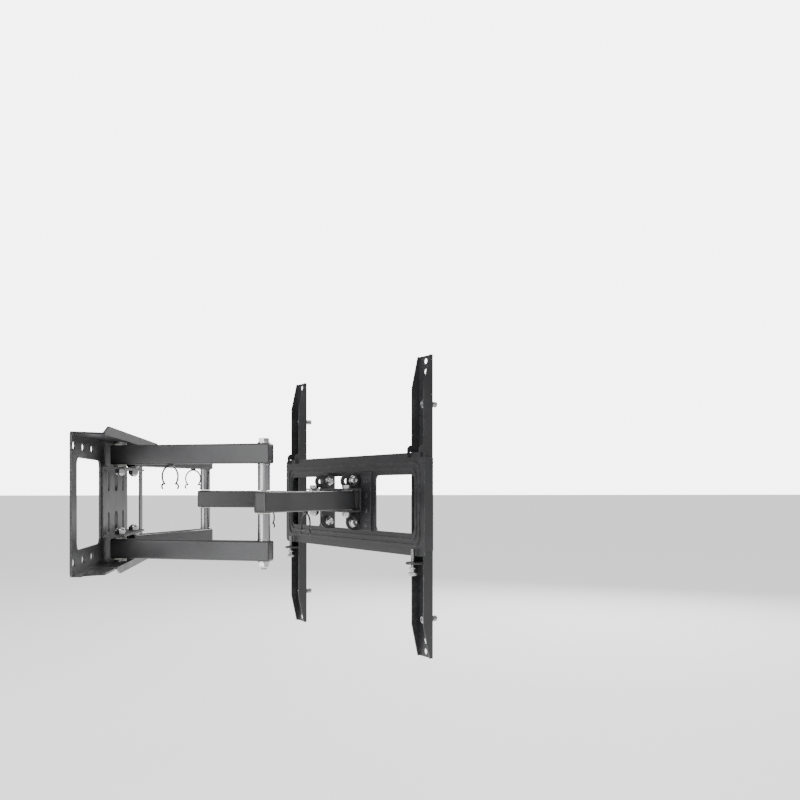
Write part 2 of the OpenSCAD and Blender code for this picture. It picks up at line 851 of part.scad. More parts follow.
module screen_screws(x) {
    color([0.6, 0.6, 0.62]) at_screen_screws(x) {
        translate([0, 0, -washer_t - 4.4]) difference() {
            cylinder(r1 = 5.5, r2 = 7, h = 4.4);
            translate([0, 0, -1]) cylinder(r = 2.9, h = 3.4, $fn = 6);
        }
        translate([0, 0, -washer_t])
            cylinder(r = screen_screw_r - 0.5, h = washer_t + rail_t + screw_neck + 1);
        translate([0, 0, rail_t + screw_neck])
            cylinder(r = screen_screw_r, h = screw_out - screw_neck);
    }
}

module screen_washers(x) {
    color([0.75, 0.75, 0.77]) at_screen_screws(x)
        ring(9.5, screen_screw_r, -washer_t, washer_t);
}

module near_screen_screws() { screen_screws(near_rail_x); }
module far_screen_screws() { screen_screws(far_rail_x); }
module near_screen_washers() { screen_washers(near_rail_x); }
module far_screen_washers() { screen_washers(far_rail_x); }

// ---------------------------------------------------------------- cable clips

// The open loop of a clip, drawn about the loop's middle, with a short
// outward curl at each end
module clip_loop() {
    reach = 2*clip_r;
    spoke = [sin(clip_open), -cos(clip_open)];
    difference() {
        circle(clip_r + clip_wire/2);
        circle(clip_r - clip_wire/2);
        polygon([[0, 0], [-reach*spoke.x, reach*spoke.y], [reach*spoke.x, reach*spoke.y]]);
    }
    for (side = [-1, 1]) scale([side, 1])
        translate((clip_r + clip_curl)*spoke) difference() {
            circle(clip_curl + clip_wire/2);
            circle(clip_curl - clip_wire/2);
            rotate([0, 0, clip_open]) translate([0.2, -reach/2]) square(reach);
        }
}

// A wire clip that hangs from the underside of a tube
module cable_clip(x, z, turn) {
    color([0.03, 0.03, 0.03]) translate([x, 0, z]) rotate([0, 0, turn]) {
        translate([0, 0, -clip_boss - clip_wire/2]) cylinder(r = 4, h = clip_boss + clip_wire/2);
        translate([-clip_wire/2, 0, -clip_boss - clip_r]) rotate([90, 0, 90])
            linear_extrude(clip_wire) clip_loop();
    }
}

module near_arm_clip() { near_arm() cable_clip(near_clip_x, arm_low, clip_turn); }
module far_arm_clip() { far_arm() cable_clip(far_clip_x, arm_low, 0); }
module near_forearm_clip() { near_forearm() cable_clip(near_fore_clip_x, -fore_top, fore_clip_turn); }
module far_forearm_clip() { far_forearm() cable_clip(far_fore_clip_x, -fore_top, 0); }

// ---------------------------------------------------------------- nodes

wall_plate();
pivot_channel();
near_shoulder_bolts();
near_shoulder_nuts();
near_shoulder_washers();
far_shoulder_bolts();
far_shoulder_nuts();
far_shoulder_washers();
near_upper_tube();
near_lower_tube();
near_arm_caps();
near_arm_bushes();
near_elbow_posts();
near_elbow_bolt();
near_elbow_nut();
near_elbow_washers();
far_upper_tube();
far_lower_tube();
far_arm_caps();
far_arm_bushes();
far_elbow_posts();
far_elbow_bolts();
far_elbow_nut();
far_elbow_washers();
near_forearm_tube();
near_forearm_caps();
near_forearm_bushes();
far_forearm_tube();
far_forearm_caps();
far_forearm_bushes();
head_bracket();
head_pivot_bolts();
head_pivot_nuts();
tilt_bolts();
tilt_nuts();
tilt_washers();
near_cheek();
far_cheek();
screen_plate();
cheek_rivets();
near_rail();
far_rail();
near_lock_leaf();
far_lock_leaf();
near_lock_screw();
far_lock_screw();
near_screen_screws();
far_screen_screws();
near_screen_washers();
far_screen_washers();
near_arm_clip();
far_arm_clip();
near_forearm_clip();
far_forearm_clip();
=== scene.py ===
"""Looks of a full motion screen wall mount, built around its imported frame.

Each sub-assembly is a class that makes its pieces where the frame says and
dresses them in its finish. Lengths are in metres, and MM turns millimetres
into metres.
"""

import json
import logging
import math
from dataclasses import dataclass, field
from enum import Enum
from typing import Callable, Iterable, Sequence

import bmesh
import bpy
from mathutils import Matrix, Vector


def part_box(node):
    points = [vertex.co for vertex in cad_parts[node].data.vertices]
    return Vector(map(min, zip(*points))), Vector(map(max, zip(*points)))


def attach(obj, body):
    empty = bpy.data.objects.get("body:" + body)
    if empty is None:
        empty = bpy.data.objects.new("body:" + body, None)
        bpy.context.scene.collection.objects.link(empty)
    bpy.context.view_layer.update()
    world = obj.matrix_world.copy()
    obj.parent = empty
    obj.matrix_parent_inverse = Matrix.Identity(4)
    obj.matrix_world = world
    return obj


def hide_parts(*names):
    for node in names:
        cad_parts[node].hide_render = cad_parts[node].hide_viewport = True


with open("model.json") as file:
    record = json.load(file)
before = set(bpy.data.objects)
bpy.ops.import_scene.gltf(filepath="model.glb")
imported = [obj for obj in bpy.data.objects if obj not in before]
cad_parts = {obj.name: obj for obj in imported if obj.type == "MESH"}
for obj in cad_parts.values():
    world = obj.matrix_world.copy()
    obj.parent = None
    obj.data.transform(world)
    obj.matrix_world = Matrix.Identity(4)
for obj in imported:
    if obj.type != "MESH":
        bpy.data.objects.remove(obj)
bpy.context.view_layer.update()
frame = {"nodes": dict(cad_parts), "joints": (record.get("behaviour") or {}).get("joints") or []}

MM = 0.001
UP = Vector((0.0, 0.0, 1.0))
LOG = logging.getLogger("wall_mount")
Colour = tuple[float, float, float]
Spot = tuple[float, float, float]
Row = list[Vector]


class Side(Enum):
    """The two sides of the mount: near the viewer's end of the wall, or far."""

    NEAR = "near"
    FAR = "far"


class Slot(Enum):
    """The record's material slots."""

    STEEL = "black_steel"
    TUBE = "black_tube"
    SHEET = "black_sheet"
    ZINC = "zinc"
    SLEEVE = "dark_steel"
    CAP = "cap_plastic"
    BUSH = "bush_plastic"
    WIRE = "clip_wire"


# ---------------------------------------------------------------- shader groups


class NodeTree:
    """Short calls for the nodes of one shader tree."""

    def __init__(self, tree: bpy.types.NodeTree) -> None:
        """Wraps a tree.

        Args:
            tree: the material's or the group's node tree.
        """
        self.tree = tree

    def add(self, kind: str, **settings: object) -> bpy.types.Node:
        """Adds a node and sets its properties.

        Args:
            kind: the node's type name.
            settings: property names and values.

        Returns:
            The new node.
        """
        node = self.tree.nodes.new(kind)
        for name, value in settings.items():
            setattr(node, name, value)
        return node

    def link(self, source: bpy.types.NodeSocket, target: bpy.types.NodeSocket) -> None:
        """Joins an output socket to an input socket."""
        self.tree.links.new(source, target)

    def give(self, target: bpy.types.NodeSocket, value: object) -> None:
        """Fills an input socket.

        Args:
            target: the input socket.
            value: a socket to link, or a number or a colour to set.
        """
        if isinstance(value, bpy.types.NodeSocket):
            self.link(value, target)
        else:
            target.default_value = (*value, 1.0) if isinstance(value, tuple) else value

    def maths(self, operation: str, *values: object) -> bpy.types.NodeSocket:
        """Adds a Math node.

        Args:
            operation: the sum to do, such as MULTIPLY.
            values: sockets or numbers for its inputs, in order.

        Returns:
            The result's socket.
        """
        node = self.add("ShaderNodeMath", operation=operation)
        for socket, value in zip(node.inputs, values):
            self.give(socket, value)
        return node.outputs[0]

    def spread(self, source: bpy.types.NodeSocket, low: float, high: float,
               to_low: float, to_high: float) -> bpy.types.NodeSocket:
        """Maps one range of values to another, with its ends held.

        Args:
            source: the value that comes in.
            low: the lowest value that comes in.
            high: the highest value that comes in.
            to_low: what the lowest value turns into.
            to_high: what the highest value turns into.

        Returns:
            The mapped value's socket.
        """
        node = self.add("ShaderNodeMapRange")
        for name, value in (("Value", source), ("From Min", low), ("From Max", high),
                            ("To Min", to_low), ("To Max", to_high)):
            self.give(node.inputs[name], value)
        return node.outputs["Result"]

    def noise(self, place: bpy.types.NodeSocket, scale: object, detail: float,
              roughness: float = 0.5) -> bpy.types.NodeSocket:
        """Adds a noise texture.

        Args:
            place: the coordinates.
            scale: a number or a socket, in waves a metre.
            detail: how many finer layers it has.
            roughness: how strong the finer layers are.

        Returns:
            The noise's value, from 0 to 1.
        """
        node = self.add("ShaderNodeTexNoise")
        for name, value in (("Vector", place), ("Scale", scale), ("Detail", detail),
                            ("Roughness", roughness)):
            self.give(node.inputs[name], value)
        return node.outputs["Fac"]

    def blend(self, factor: bpy.types.NodeSocket, first: object,
              second: object) -> bpy.types.NodeSocket:
        """Mixes two colours.

        Args:
            factor: the share of the second colour.
            first: a colour or a socket.
            second: a colour or a socket.

        Returns:
            The mixed colour's socket.
        """
        node = self.add("ShaderNodeMix", data_type="RGBA")
        self.link(factor, node.inputs["Factor"])
        colours = [socket for socket in node.inputs if socket.type == "RGBA"]
        for socket, value in zip(colours, (first, second)):
            self.give(socket, value)
        return next(socket for socket in node.outputs if socket.type == "RGBA")


def shared_group(name: str, inputs: Sequence[tuple[str, float]], outputs: Sequence[str],
                 fill: Callable[[NodeTree, bpy.types.Node, bpy.types.Node], None]
                 ) -> bpy.types.NodeTree:
    """Makes a shader node group once and gives it again when asked for.

    Args:
        name: the group's name.
        inputs: names and default values of its number inputs.
        outputs: names of its number outputs.
        fill: makes the nodes between the group's input and output.

    Returns:
        The group.
    """
    found = bpy.data.node_groups.get(name)
    if found is not None:
        return found
    group = bpy.data.node_groups.new(name, "ShaderNodeTree")
    for label, value in inputs:
        socket = group.interface.new_socket(label, in_out="INPUT", socket_type="NodeSocketFloat")
        socket.default_value = value
    for label in outputs:
        group.interface.new_socket(label, in_out="OUTPUT", socket_type="NodeSocketFloat")
    nodes = NodeTree(group)
    fill(nodes, nodes.add("NodeGroupInput"), nodes.add("NodeGroupOutput"))
    return group


def coat_grain() -> bpy.types.NodeTree:
    """Gives the grain of sprayed or moulded skins: fine pips over slow swells.

    Returns:
        A group with Height, and Cloud, a slow variation for colour and gloss.
    """

    def fill(nodes: NodeTree, given: bpy.types.Node, out: bpy.types.Node) -> None:
        """Makes the group's nodes."""
        place = nodes.add("ShaderNodeTexCoord").outputs["Object"]
        number = given.outputs["Pips a metre"]
        pips = nodes.noise(place, number, 2.0)
        swell = nodes.noise(place, nodes.maths("DIVIDE", number, 6.0), 1.0)
        fine = nodes.maths("MULTIPLY", pips, 0.55)
        slow = nodes.maths("MULTIPLY", swell, given.outputs["Peel"])
        nodes.link(nodes.maths("ADD", fine, slow), out.inputs["Height"])
        nodes.link(nodes.noise(place, 26.0, 4.0, 0.6), out.inputs["Cloud"])

    return shared_group("coat_grain", (("Pips a metre", 1500.0), ("Peel", 0.8)),
                        ("Height", "Cloud"), fill)


def edge_wear() -> bpy.types.NodeTree:
    """Gives the mask of rubbed corners: full on sharp edges, broken by noise.

    Returns:
        A group with Mask.
    """

    def fill(nodes: NodeTree, given: bpy.types.Node, out: bpy.types.Node) -> None:
        """Makes the group's nodes."""
        place = nodes.add("ShaderNodeTexCoord").outputs["Object"]
        soft = nodes.add("ShaderNodeBevel", samples=4)
        nodes.link(given.outputs["Width"], soft.inputs["Radius"])
        true = nodes.add("ShaderNodeNewGeometry").outputs["Normal"]
        dot = nodes.add("ShaderNodeVectorMath", operation="DOT_PRODUCT")
        nodes.link(soft.outputs["Normal"], dot.inputs[0])
        nodes.link(true, dot.inputs[1])
        edge = nodes.spread(dot.outputs["Value"], 0.985, 0.88, 0.0, 1.0)
        rubbed = nodes.spread(nodes.noise(place, 140.0, 5.0, 0.65), 0.47, 0.62, 0.0, 1.0)
        worn = nodes.maths("MULTIPLY", nodes.maths("MULTIPLY", edge, rubbed),
                           given.outputs["Amount"])
        nodes.link(worn, out.inputs["Mask"])

    return shared_group("edge_wear", (("Width", 0.9 * MM), ("Amount", 0.6)), ("Mask",), fill)


def turning_marks() -> bpy.types.NodeTree:
    """Gives the fine rings that turning or rolling leaves round a part.

    Returns:
        A group with Height, and Streak, a variation for colour and gloss.
    """

    def fill(nodes: NodeTree, given: bpy.types.Node, out: bpy.types.Node) -> None:
        """Makes the group's nodes."""
        around = nodes.add("ShaderNodeUVMap", uv_map="turning").outputs["UV"]
        stretch = nodes.add("ShaderNodeMapping")
        nodes.link(around, stretch.inputs["Vector"])
        stretch.inputs["Scale"].default_value = (5.0, 1.0, 1.0)
        rings = nodes.noise(stretch.outputs["Vector"], given.outputs["Rings"], 2.0)
        nodes.link(rings, out.inputs["Height"])
        place = nodes.add("ShaderNodeTexCoord").outputs["Object"]
        nodes.link(nodes.noise(place, 260.0, 4.0, 0.6), out.inputs["Streak"])

    return shared_group("turning_marks", (("Rings", 9.0),), ("Height", "Streak"), fill)


# ---------------------------------------------------------------- finishes


CLOUD_RANGE = (0.3, 0.7)
"""Where the slow noise of the shared groups has most of its values."""


@dataclass(frozen=True)
class Finish:
    """What every finish has: a name, a colour and the look of its shader."""

    name: str
    colour: Colour

    def dress(self, nodes: NodeTree, skin: bpy.types.Node) -> None:
        """Links this finish's nodes to the shader. Each finish has its own."""
        raise NotImplementedError

    def tone(self, share: float, lift: float = 0.0) -> Colour:
        """Gives the finish's colour made darker or paler, up to white."""
        return tuple(min(1.0, share * c + lift) for c in self.colour)

    def group(self, nodes: NodeTree, tree: bpy.types.NodeTree, **values: float) -> bpy.types.Node:
        """Places a shared group with this finish's own values.

        Args:
            nodes: the material's tree.
            tree: the shared group.
            values: the group's inputs, with underscores for spaces.

        Returns:
            The group's node.
        """
        node = nodes.add("ShaderNodeGroup")
        node.node_tree = tree
        for label, value in values.items():
            node.inputs[label.replace("_", " ")].default_value = value
        return node

    def bump(self, nodes: NodeTree, skin: bpy.types.Node, height: bpy.types.NodeSocket,
             depth: float, strength: float) -> None:
        """Feeds a height to the shader's normal.

        Args:
            nodes: the material's tree.
            skin: the Principled shader.
            height: the height's socket.
            depth: how deep the height's full range is, in metres.
            strength: how much of it shows.
        """
        node = nodes.add("ShaderNodeBump")
        node.inputs["Strength"].default_value = strength
        node.inputs["Distance"].default_value = depth
        nodes.link(height, node.inputs["Height"])
        nodes.link(node.outputs["Normal"], skin.inputs["Normal"])

    def material(self) -> bpy.types.Material:
        """Gives the finish's material, made once.

        Returns:
            The material.
        """
        found = bpy.data.materials.get(self.name)
        if found is not None:
            return found
        made = bpy.data.materials.new(self.name)
        made.use_nodes = True
        made.diffuse_color = (*self.colour, 1.0)
        nodes = NodeTree(made.node_tree)
        self.dress(nodes, made.node_tree.nodes["Principled BSDF"])
        return made


@dataclass(frozen=True)
class PowderCoat(Finish):
    """Black powder coat with grain, uneven gloss and rubbed edges."""

    gloss: float = 0.42
    pips: float = 1500.0
    peel: float = 0.8
    wear: float = 0.5
    bare: Colour = (0.3, 0.3, 0.31)
    edge: float = 0.9 * MM
    relief: float = 0.06 * MM

    def dress(self, nodes: NodeTree, skin: bpy.types.Node) -> None:
        """Links grain, clouding and wear."""
        grain = self.group(nodes, coat_grain(), Pips_a_metre=self.pips, Peel=self.peel)
        worn = self.group(nodes, edge_wear(), Width=self.edge, Amount=self.wear).outputs["Mask"]
        cloud = nodes.spread(grain.outputs["Cloud"], *CLOUD_RANGE, 0.0, 1.0)
        coat = nodes.blend(cloud, self.tone(0.82), self.tone(1.22, 0.002))
        nodes.link(nodes.blend(worn, coat, self.bare), skin.inputs["Base Color"])
        gloss = nodes.spread(grain.outputs["Cloud"], *CLOUD_RANGE, self.gloss - 0.05,
                             self.gloss + 0.07)
        shine = nodes.maths("SUBTRACT", gloss, nodes.maths("MULTIPLY", worn, 0.1))
        nodes.link(shine, skin.inputs["Roughness"])
        nodes.link(nodes.maths("MULTIPLY", worn, 0.85), skin.inputs["Metallic"])
        self.bump(nodes, skin, grain.outputs["Height"], self.relief, 0.5)


@dataclass(frozen=True)
class TurnedMetal(Finish):
    """Plated or polished steel with turning marks and a slightly uneven tone."""

    gloss: float = 0.28
    tint: Colour = (0.7, 0.68, 0.6)
    rings: float = 9000.0
    mottle: float = 0.5
    rubbed: Colour = (0.82, 0.82, 0.83)
    edge: float = 0.6 * MM
    relief: float = 0.02 * MM

    def dress(self, nodes: NodeTree, skin: bpy.types.Node) -> None:
        """Links turning marks and tone."""
        marks = self.group(nodes, turning_marks(), Rings=self.rings)
        worn = self.group(nodes, edge_wear(), Width=self.edge, Amount=0.7).outputs["Mask"]
        streak = marks.outputs["Streak"]
        plate = nodes.blend(nodes.spread(streak, 0.35, 0.68, 0.0, self.mottle), self.colour,
                            self.tint)
        nodes.link(nodes.blend(worn, plate, self.rubbed), skin.inputs["Base Color"])
        skin.inputs["Metallic"].default_value = 1.0
        gloss = nodes.spread(streak, *CLOUD_RANGE, self.gloss - 0.12 * self.mottle,
                             self.gloss + 0.2 * self.mottle)
        nodes.link(gloss, skin.inputs["Roughness"])
        self.bump(nodes, skin, marks.outputs["Height"], self.relief, 0.25)


@dataclass(frozen=True)
class MouldedPlastic(Finish):
    """Moulded plastic with a fine spark texture and edges painted paler: partly rubbed wear, partly a
    painted sheen on the corners.
    """

    gloss: float = 0.5
    pips: float = 2600.0
    edge: float = 0.6 * MM
    relief: float = 0.04 * MM

    def dress(self, nodes: NodeTree, skin: bpy.types.Node) -> None:
        """Links texture and tone."""
        grain = self.group(nodes, coat_grain(), Pips_a_metre=self.pips, Peel=0.2)
        cloud = nodes.spread(grain.outputs["Cloud"], *CLOUD_RANGE, 0.0, 1.0)
        plain = nodes.blend(cloud, self.tone(0.85), self.tone(1.12, 0.002))
        worn = self.group(nodes, edge_wear(), Width=self.edge, Amount=0.35).outputs["Mask"]
        # Rubbed edges, broken by noise, turn paler: partly wear, partly a painted sheen that stands in
        # for the shine on rounded corners.
        nodes.link(nodes.blend(worn, plain, self.tone(1.5, 0.02)), skin.inputs["Base Color"])
        gloss = nodes.spread(grain.outputs["Cloud"], *CLOUD_RANGE, self.gloss - 0.06,
                             self.gloss + 0.08)
        nodes.link(gloss, skin.inputs["Roughness"])
        self.bump(nodes, skin, grain.outputs["Height"], self.relief, 0.4)


@dataclass(frozen=True)
class StudioFloor(Finish):
    """A plain pale floor that glows enough to meet the bright surround."""

    def dress(self, nodes: NodeTree, skin: bpy.types.Node) -> None:
        """Links a slow cloud."""
        grain = self.group(nodes, coat_grain(), Pips_a_metre=300.0, Peel=0.3)
        tone = nodes.blend(grain.outputs["Cloud"], self.tone(0.985), self.colour)
        for name in ("Base Color", "Emission Color"):
            nodes.link(tone, skin.inputs[name])
        skin.inputs["Emission Strength"].default_value = 1.0
        skin.inputs["Roughness"].default_value = 0.85


STEEL = PowderCoat("powder_coat_bracket", (0.022, 0.022, 0.024), gloss=0.36, pips=1400.0)
TUBE = PowderCoat("powder_coat_tube", (0.036, 0.036, 0.038), gloss=0.4, pips=1700.0, wear=0.4)
SHEET = PowderCoat("powder_coat_sheet", (0.018, 0.018, 0.0195), gloss=0.38, pips=1300.0,
                   peel=1.0)
ZINC = TurnedMetal("zinc_plate", (0.52, 0.52, 0.54), gloss=0.2, tint=(0.46, 0.45, 0.42))
SLEEVE = TurnedMetal("dark_polished_steel", (0.34, 0.34, 0.35), gloss=0.22,
                     tint=(0.42, 0.42, 0.42), rings=14000.0, mottle=0.16)
CAP = MouldedPlastic("black_cap_plastic", (0.024, 0.024, 0.025), gloss=0.3)
BUSH = MouldedPlastic("nylon", (0.62, 0.61, 0.56), gloss=0.4, pips=900.0)
WIRE = PowderCoat("coated_wire", (0.012, 0.012, 0.013), gloss=0.28, pips=2200.0, peel=0.3,
                  wear=0.2)
FLOOR = StudioFloor("studio_floor", (0.9, 0.9, 0.9))


# ---------------------------------------------------------------- mesh work


def round_corners(width: float, height: float, radius: float, steps: int = 5) -> Row:
    """Draws a rectangle with round corners in Y and Z, about the middle.

    Args:
        width: size along Y.
        height: size along Z.
        radius: radius of the corners.
        steps: flat steps in each corner.

    Returns:
        The outline's points, anticlockwise seen from +X.
    """
    points: Row = []
    for quarter, (y_side, z_side) in enumerate(((1, 1), (-1, 1), (-1, -1), (1, -1))):
        for k in range(steps + 1):
            angle = math.radians(90.0 * (quarter + k / steps))
            points.append(Vector((0.0, y_side * (width / 2 - radius) + radius * math.cos(angle),
                                  z_side * (height / 2 - radius) + radius * math.sin(angle))))
    return points


def polar_row(spots: Iterable[tuple[float, float, float]]) -> Row:
    """Turns triples of radius, angle and height into points about Z."""
    return [Vector((r * math.cos(a), r * math.sin(a), z)) for r, a, z in spots]


def circle_row(radius: float, z: float, steps: int) -> Row:
    """Draws a circle about Z.

    Args:
        radius: its radius.
        z: its height.
        steps: how many points it has.

    Returns:
        The circle's points.
    """
    return polar_row((radius, math.tau * k / steps, z) for k in range(steps))


def hex_reach(flats: float, angle: float) -> float:
    """Gives how far a hexagon reaches at an angle, with a corner at angle 0.

    Args:
        flats: width across the flats.
        angle: the angle, in radians.

    Returns:
        The distance from the middle, with the corner slightly rounded.
    """
    corner = flats / 2 / math.cos(math.radians(30))
    offset = math.remainder(angle - math.radians(30), math.radians(60))
    return min(flats / 2 / math.cos(offset), 0.985 * corner)


def axes_at(origin: Vector, along: Vector, up: Vector = UP) -> Matrix:
    """Makes a place whose X runs along a direction and whose Z is near up.

    Args:
        origin: the place's origin.
        along: direction of local X.
        up: rough direction of local Z.

    Returns:
        The place as a matrix.
    """
    x = along.normalized()
    y = up.cross(x).normalized()
    z = x.cross(y)
    turn = Matrix((x, y, z)).transposed().to_4x4()
    return Matrix.Translation(origin) @ turn


def pointing(origin: Vector, axis: Vector) -> Matrix:
    """Makes a place whose Z runs along an axis.

    Args:
        origin: the place's origin.
        axis: direction of local Z.

    Returns:
        The place as a matrix.
    """
    return Matrix.Translation(origin) @ axis.to_track_quat("Z", "Y").to_matrix().to_4x4()


def lifted(place: Matrix, height: float) -> Matrix:
    """Gives a place moved along its own Z."""
    return place @ Matrix.Translation(height * UP)


FLIP = Matrix.Diagonal((1.0, 1.0, -1.0, 1.0))


class Workpiece:
    """A mesh in the making, that one named piece is finished from."""

    def __init__(self) -> None:
        """Starts an empty mesh with room for turning coordinates."""
        self.mesh = bmesh.new()
        self.uv = self.mesh.loops.layers.uv.new("turning")

    def skin(self, rows: Sequence[Row], place: Matrix, ring: bool = False) -> None:
        """Joins rows of points into a skin.

        Args:
            rows: closed rows with equal numbers of points.
            place: where the skin goes.
            ring: True joins the last row to the first, as on a washer;
                otherwise both ends are closed.
        """
        made = [[self.mesh.verts.new(place @ point) for point in row] for row in rows]
        count = len(made[0])
        pairs = list(zip(range(len(made)), range(1, len(made))))
        if ring:
            pairs.append((len(made) - 1, 0))
        run = 0.0
        for low, high in pairs:
            step = (rows[high][0] - rows[low][0]).length
            for k in range(count):
                after = (k + 1) % count
                face = self.mesh.faces.new((made[low][k], made[low][after],
                                            made[high][after], made[high][k]))
                spots = ((k, run), (k + 1, run), (k + 1, run + step), (k, run + step))
                for loop, (turn, length) in zip(face.loops, spots):
                    loop[self.uv].uv = (turn / count, length)
            run += step
        if not ring:
            self.mesh.faces.new(list(reversed(made[0])))
            self.mesh.faces.new(made[-1])

    def turn(self, profile: Sequence[tuple[float, float]], place: Matrix, ring: bool = False,
             steps: int = 48) -> None:
        """Turns a profile about Z, as on a lathe.

        Args:
            profile: pairs of radius and height, in metres.
            place: where the piece goes.
            ring: True for a profile that closes on itself.
            steps: how many flats make the round.
        """
        self.skin([circle_row(radius, z, steps) for radius, z in profile], place, ring)

    def washer(self, inner: float, outer: float, thick: float, place: Matrix) -> None:
        """Turns a washer that stands on its place, with stamped round edges."""
        soft = min(0.25 * MM, thick / 3)
        self.turn([(inner, soft), (inner + soft, 0), (outer - soft, 0), (outer, soft),
                   (outer, thick - soft), (outer - soft, thick), (inner + soft, thick),
                   (inner, thick - soft)], place, ring=True)

    def hex_prism(self, flats: float, height: float, place: Matrix, both: bool = False,
                  steps: int = 72) -> None:
        """Makes a hexagon head whose corners are turned off.

        Args:
            flats: width across the flats.
            height: its height.
            place: where its flat face stands.
            both: True turns off the corners below too, as on a nut.
            steps: how many points go round.
        """
        crown = 0.47 * flats
        foot = 0.35 * MM
        stamp = 0.12 * MM
        slope = math.tan(math.radians(30))
        angles = [math.tau * k / steps for k in range(steps)]

        def hex_row(z_of: Callable[[float], float]) -> Row:
            """Draws the hexagon with a height that follows its reach."""
            reach = [hex_reach(flats, a) for a in angles]
            return polar_row((r, a, z_of(r)) for r, a in zip(reach, angles))

        rows = [circle_row(crown, 0.0, steps)]
        if both:
            rows.append(hex_row(lambda r: (r - crown) * slope))
        else:
            rows += [circle_row(crown, foot, steps), hex_row(lambda r: foot)]
        rows.append(hex_row(lambda r: height - (r - crown) * slope))
        rows += [circle_row(share * crown, height - drop, steps)
                 for share, drop in ((1.0, 0.0), (0.9, 0.0), (0.84, stamp))]
        self.skin(rows, place)

    def threaded(self, radius: float, pitch: float, start: float, length: float, place: Matrix,
                 neck: float | None = None, steps: int = 32) -> None:
        """Makes a shank from z = 0 whose end has a real screw thread.

        Args:
            radius: outer radius of the thread.
            pitch: distance from thread to thread.
            start: height where the thread starts.
            length: height of the tip.
            place: where the shank goes.
            neck: radius before the thread, if that is less than the thread's.
            steps: how many points go round.
        """
        depth = 0.5 * pitch
        layers = 6
        count = max(2, int((length - start) / pitch * layers))
        plain = radius if neck is None else neck
        rows = [circle_row(plain, 0.0, steps), circle_row(plain, start, steps)]
        for i in range(1, count + 1):
            z = start + (length - start) * i / count
            point = radius - depth + (length - z) * 0.9
            spots = []
            for k in range(steps):
                wave = 0.5 - 0.5 * math.cos(math.tau * (z / pitch - k / steps))
                groove = depth * wave * min(1.0, 2 * i / layers)
                spots.append((min(radius - groove, point), math.tau * k / steps, z))
            rows.append(polar_row(spots))
        self.skin(rows, place)

    def sweep(self, points: Sequence[Vector], radius: float, place: Matrix, sides: int = 10) -> None:
        """Bends a round wire along points that lie in one plane.

        Args:
            points: the wire's middle line.
            radius: the wire's radius.
            place: where the wire goes.
            sides: how many flats make the wire round.
        """
        rows = []
        flat = Vector((1.0, 0.0, 0.0))
        for i, point in enumerate(points):
            before = points[max(i - 1, 0)]
            after = points[min(i + 1, len(points) - 1)]
            run = (after - before).normalized()
            side = run.cross(flat)
            rows.append([point + radius * (math.cos(angle) * flat + math.sin(angle) * side)
                         for angle in (math.tau * k / sides for k in range(sides))])
        self.skin(rows, place)

    def weld(self, start: Vector, end: Vector, radius: float, ripple: float = 1.6 * MM) -> None:
        """Lays a weld bead of overlapping ripples between two points.

        Args:
            start: where the bead starts.
            end: where the bead ends.
            radius: the bead's radius.
            ripple: distance from ripple to ripple.
        """
        length = (end - start).length
        count = max(6, int(length / ripple * 4))
        rows = []
        for i in range(count + 1):
            share = i / count
            swell = 0.86 + 0.14 * math.sin(math.tau * share * length / ripple) ** 2
            taper = min(1.0, 6 * share + 0.25, 6 * (1 - share) + 0.25)
            rows.append(circle_row(radius * swell * taper, share * length, 10))
        self.skin(rows, pointing(start, (end - start).normalized()))

    def copy_frame(self, node: str) -> None:
        """Takes over the faces of a node of the frame, with its flats made whole.

        Args:
            node: the frame node's name.
        """
        part = bmesh.new()
        part.from_mesh(frame["nodes"][node].data)
        bmesh.ops.remove_doubles(part, verts=part.verts, dist=0.002 * MM)
        bmesh.ops.dissolve_limit(part, angle_limit=math.radians(0.6), verts=part.verts,
                                 edges=part.edges)
        spare = bpy.data.meshes.new("spare")
        part.to_mesh(spare)
        part.free()
        self.mesh.from_mesh(spare)
        bpy.data.meshes.remove(spare)

    def finished(self, name: str, body: str, slot: Slot, finish: Finish,
                 nodes: Iterable[str] = (), edge: float = 0.0,
                 sharp: float = 32.0) -> bpy.types.Object:
        """Turns the mesh into a named piece that rides on a body.

        Args:
            name: the piece's name.
            body: the body it moves with.
            slot: the record's material slot; not used.
            finish: what it is dressed in.
            nodes: the frame nodes that it stands for.
            edge: how wide its edges are rounded, or 0 for none.
            sharp: the angle, in degrees, over which an edge looks sharp.

        Returns:
            The piece.
        """
        if edge == 0.0:
            bmesh.ops.recalc_face_normals(self.mesh, faces=self.mesh.faces)
        data = bpy.data.meshes.new(name)
        self.mesh.to_mesh(data)
        self.mesh.free()
        for face in data.polygons:
            face.use_smooth = True
        piece = bpy.data.objects.new(name, data)
        bpy.context.scene.collection.objects.link(piece)
        if edge > 0.0:
            rounding = piece.modifiers.new("rounding", "BEVEL")
            rounding.width = edge
            rounding.segments = 2
            rounding.limit_method = "ANGLE"
            rounding.angle_limit = math.radians(33)
            rounding.use_clamp_overlap = True
            flats = piece.modifiers.new("flats", "WEIGHTED_NORMAL")
            flats.mode = "FACE_AREA"
            flats.weight = 100
            graph = bpy.context.evaluated_depsgraph_get()
            data = bpy.data.meshes.new_from_object(piece.evaluated_get(graph))
            piece.modifiers.clear()
            piece.data = data
        else:
            data.set_sharp_from_angle(angle=math.radians(sharp))
        data.name = name
        data.materials.clear()
        data.materials.append(finish.material())
        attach(piece, body)
        for node in nodes:
            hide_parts(node)
        LOG.info("made %s on %s: %d faces", name, body, len(data.polygons))
        return piece


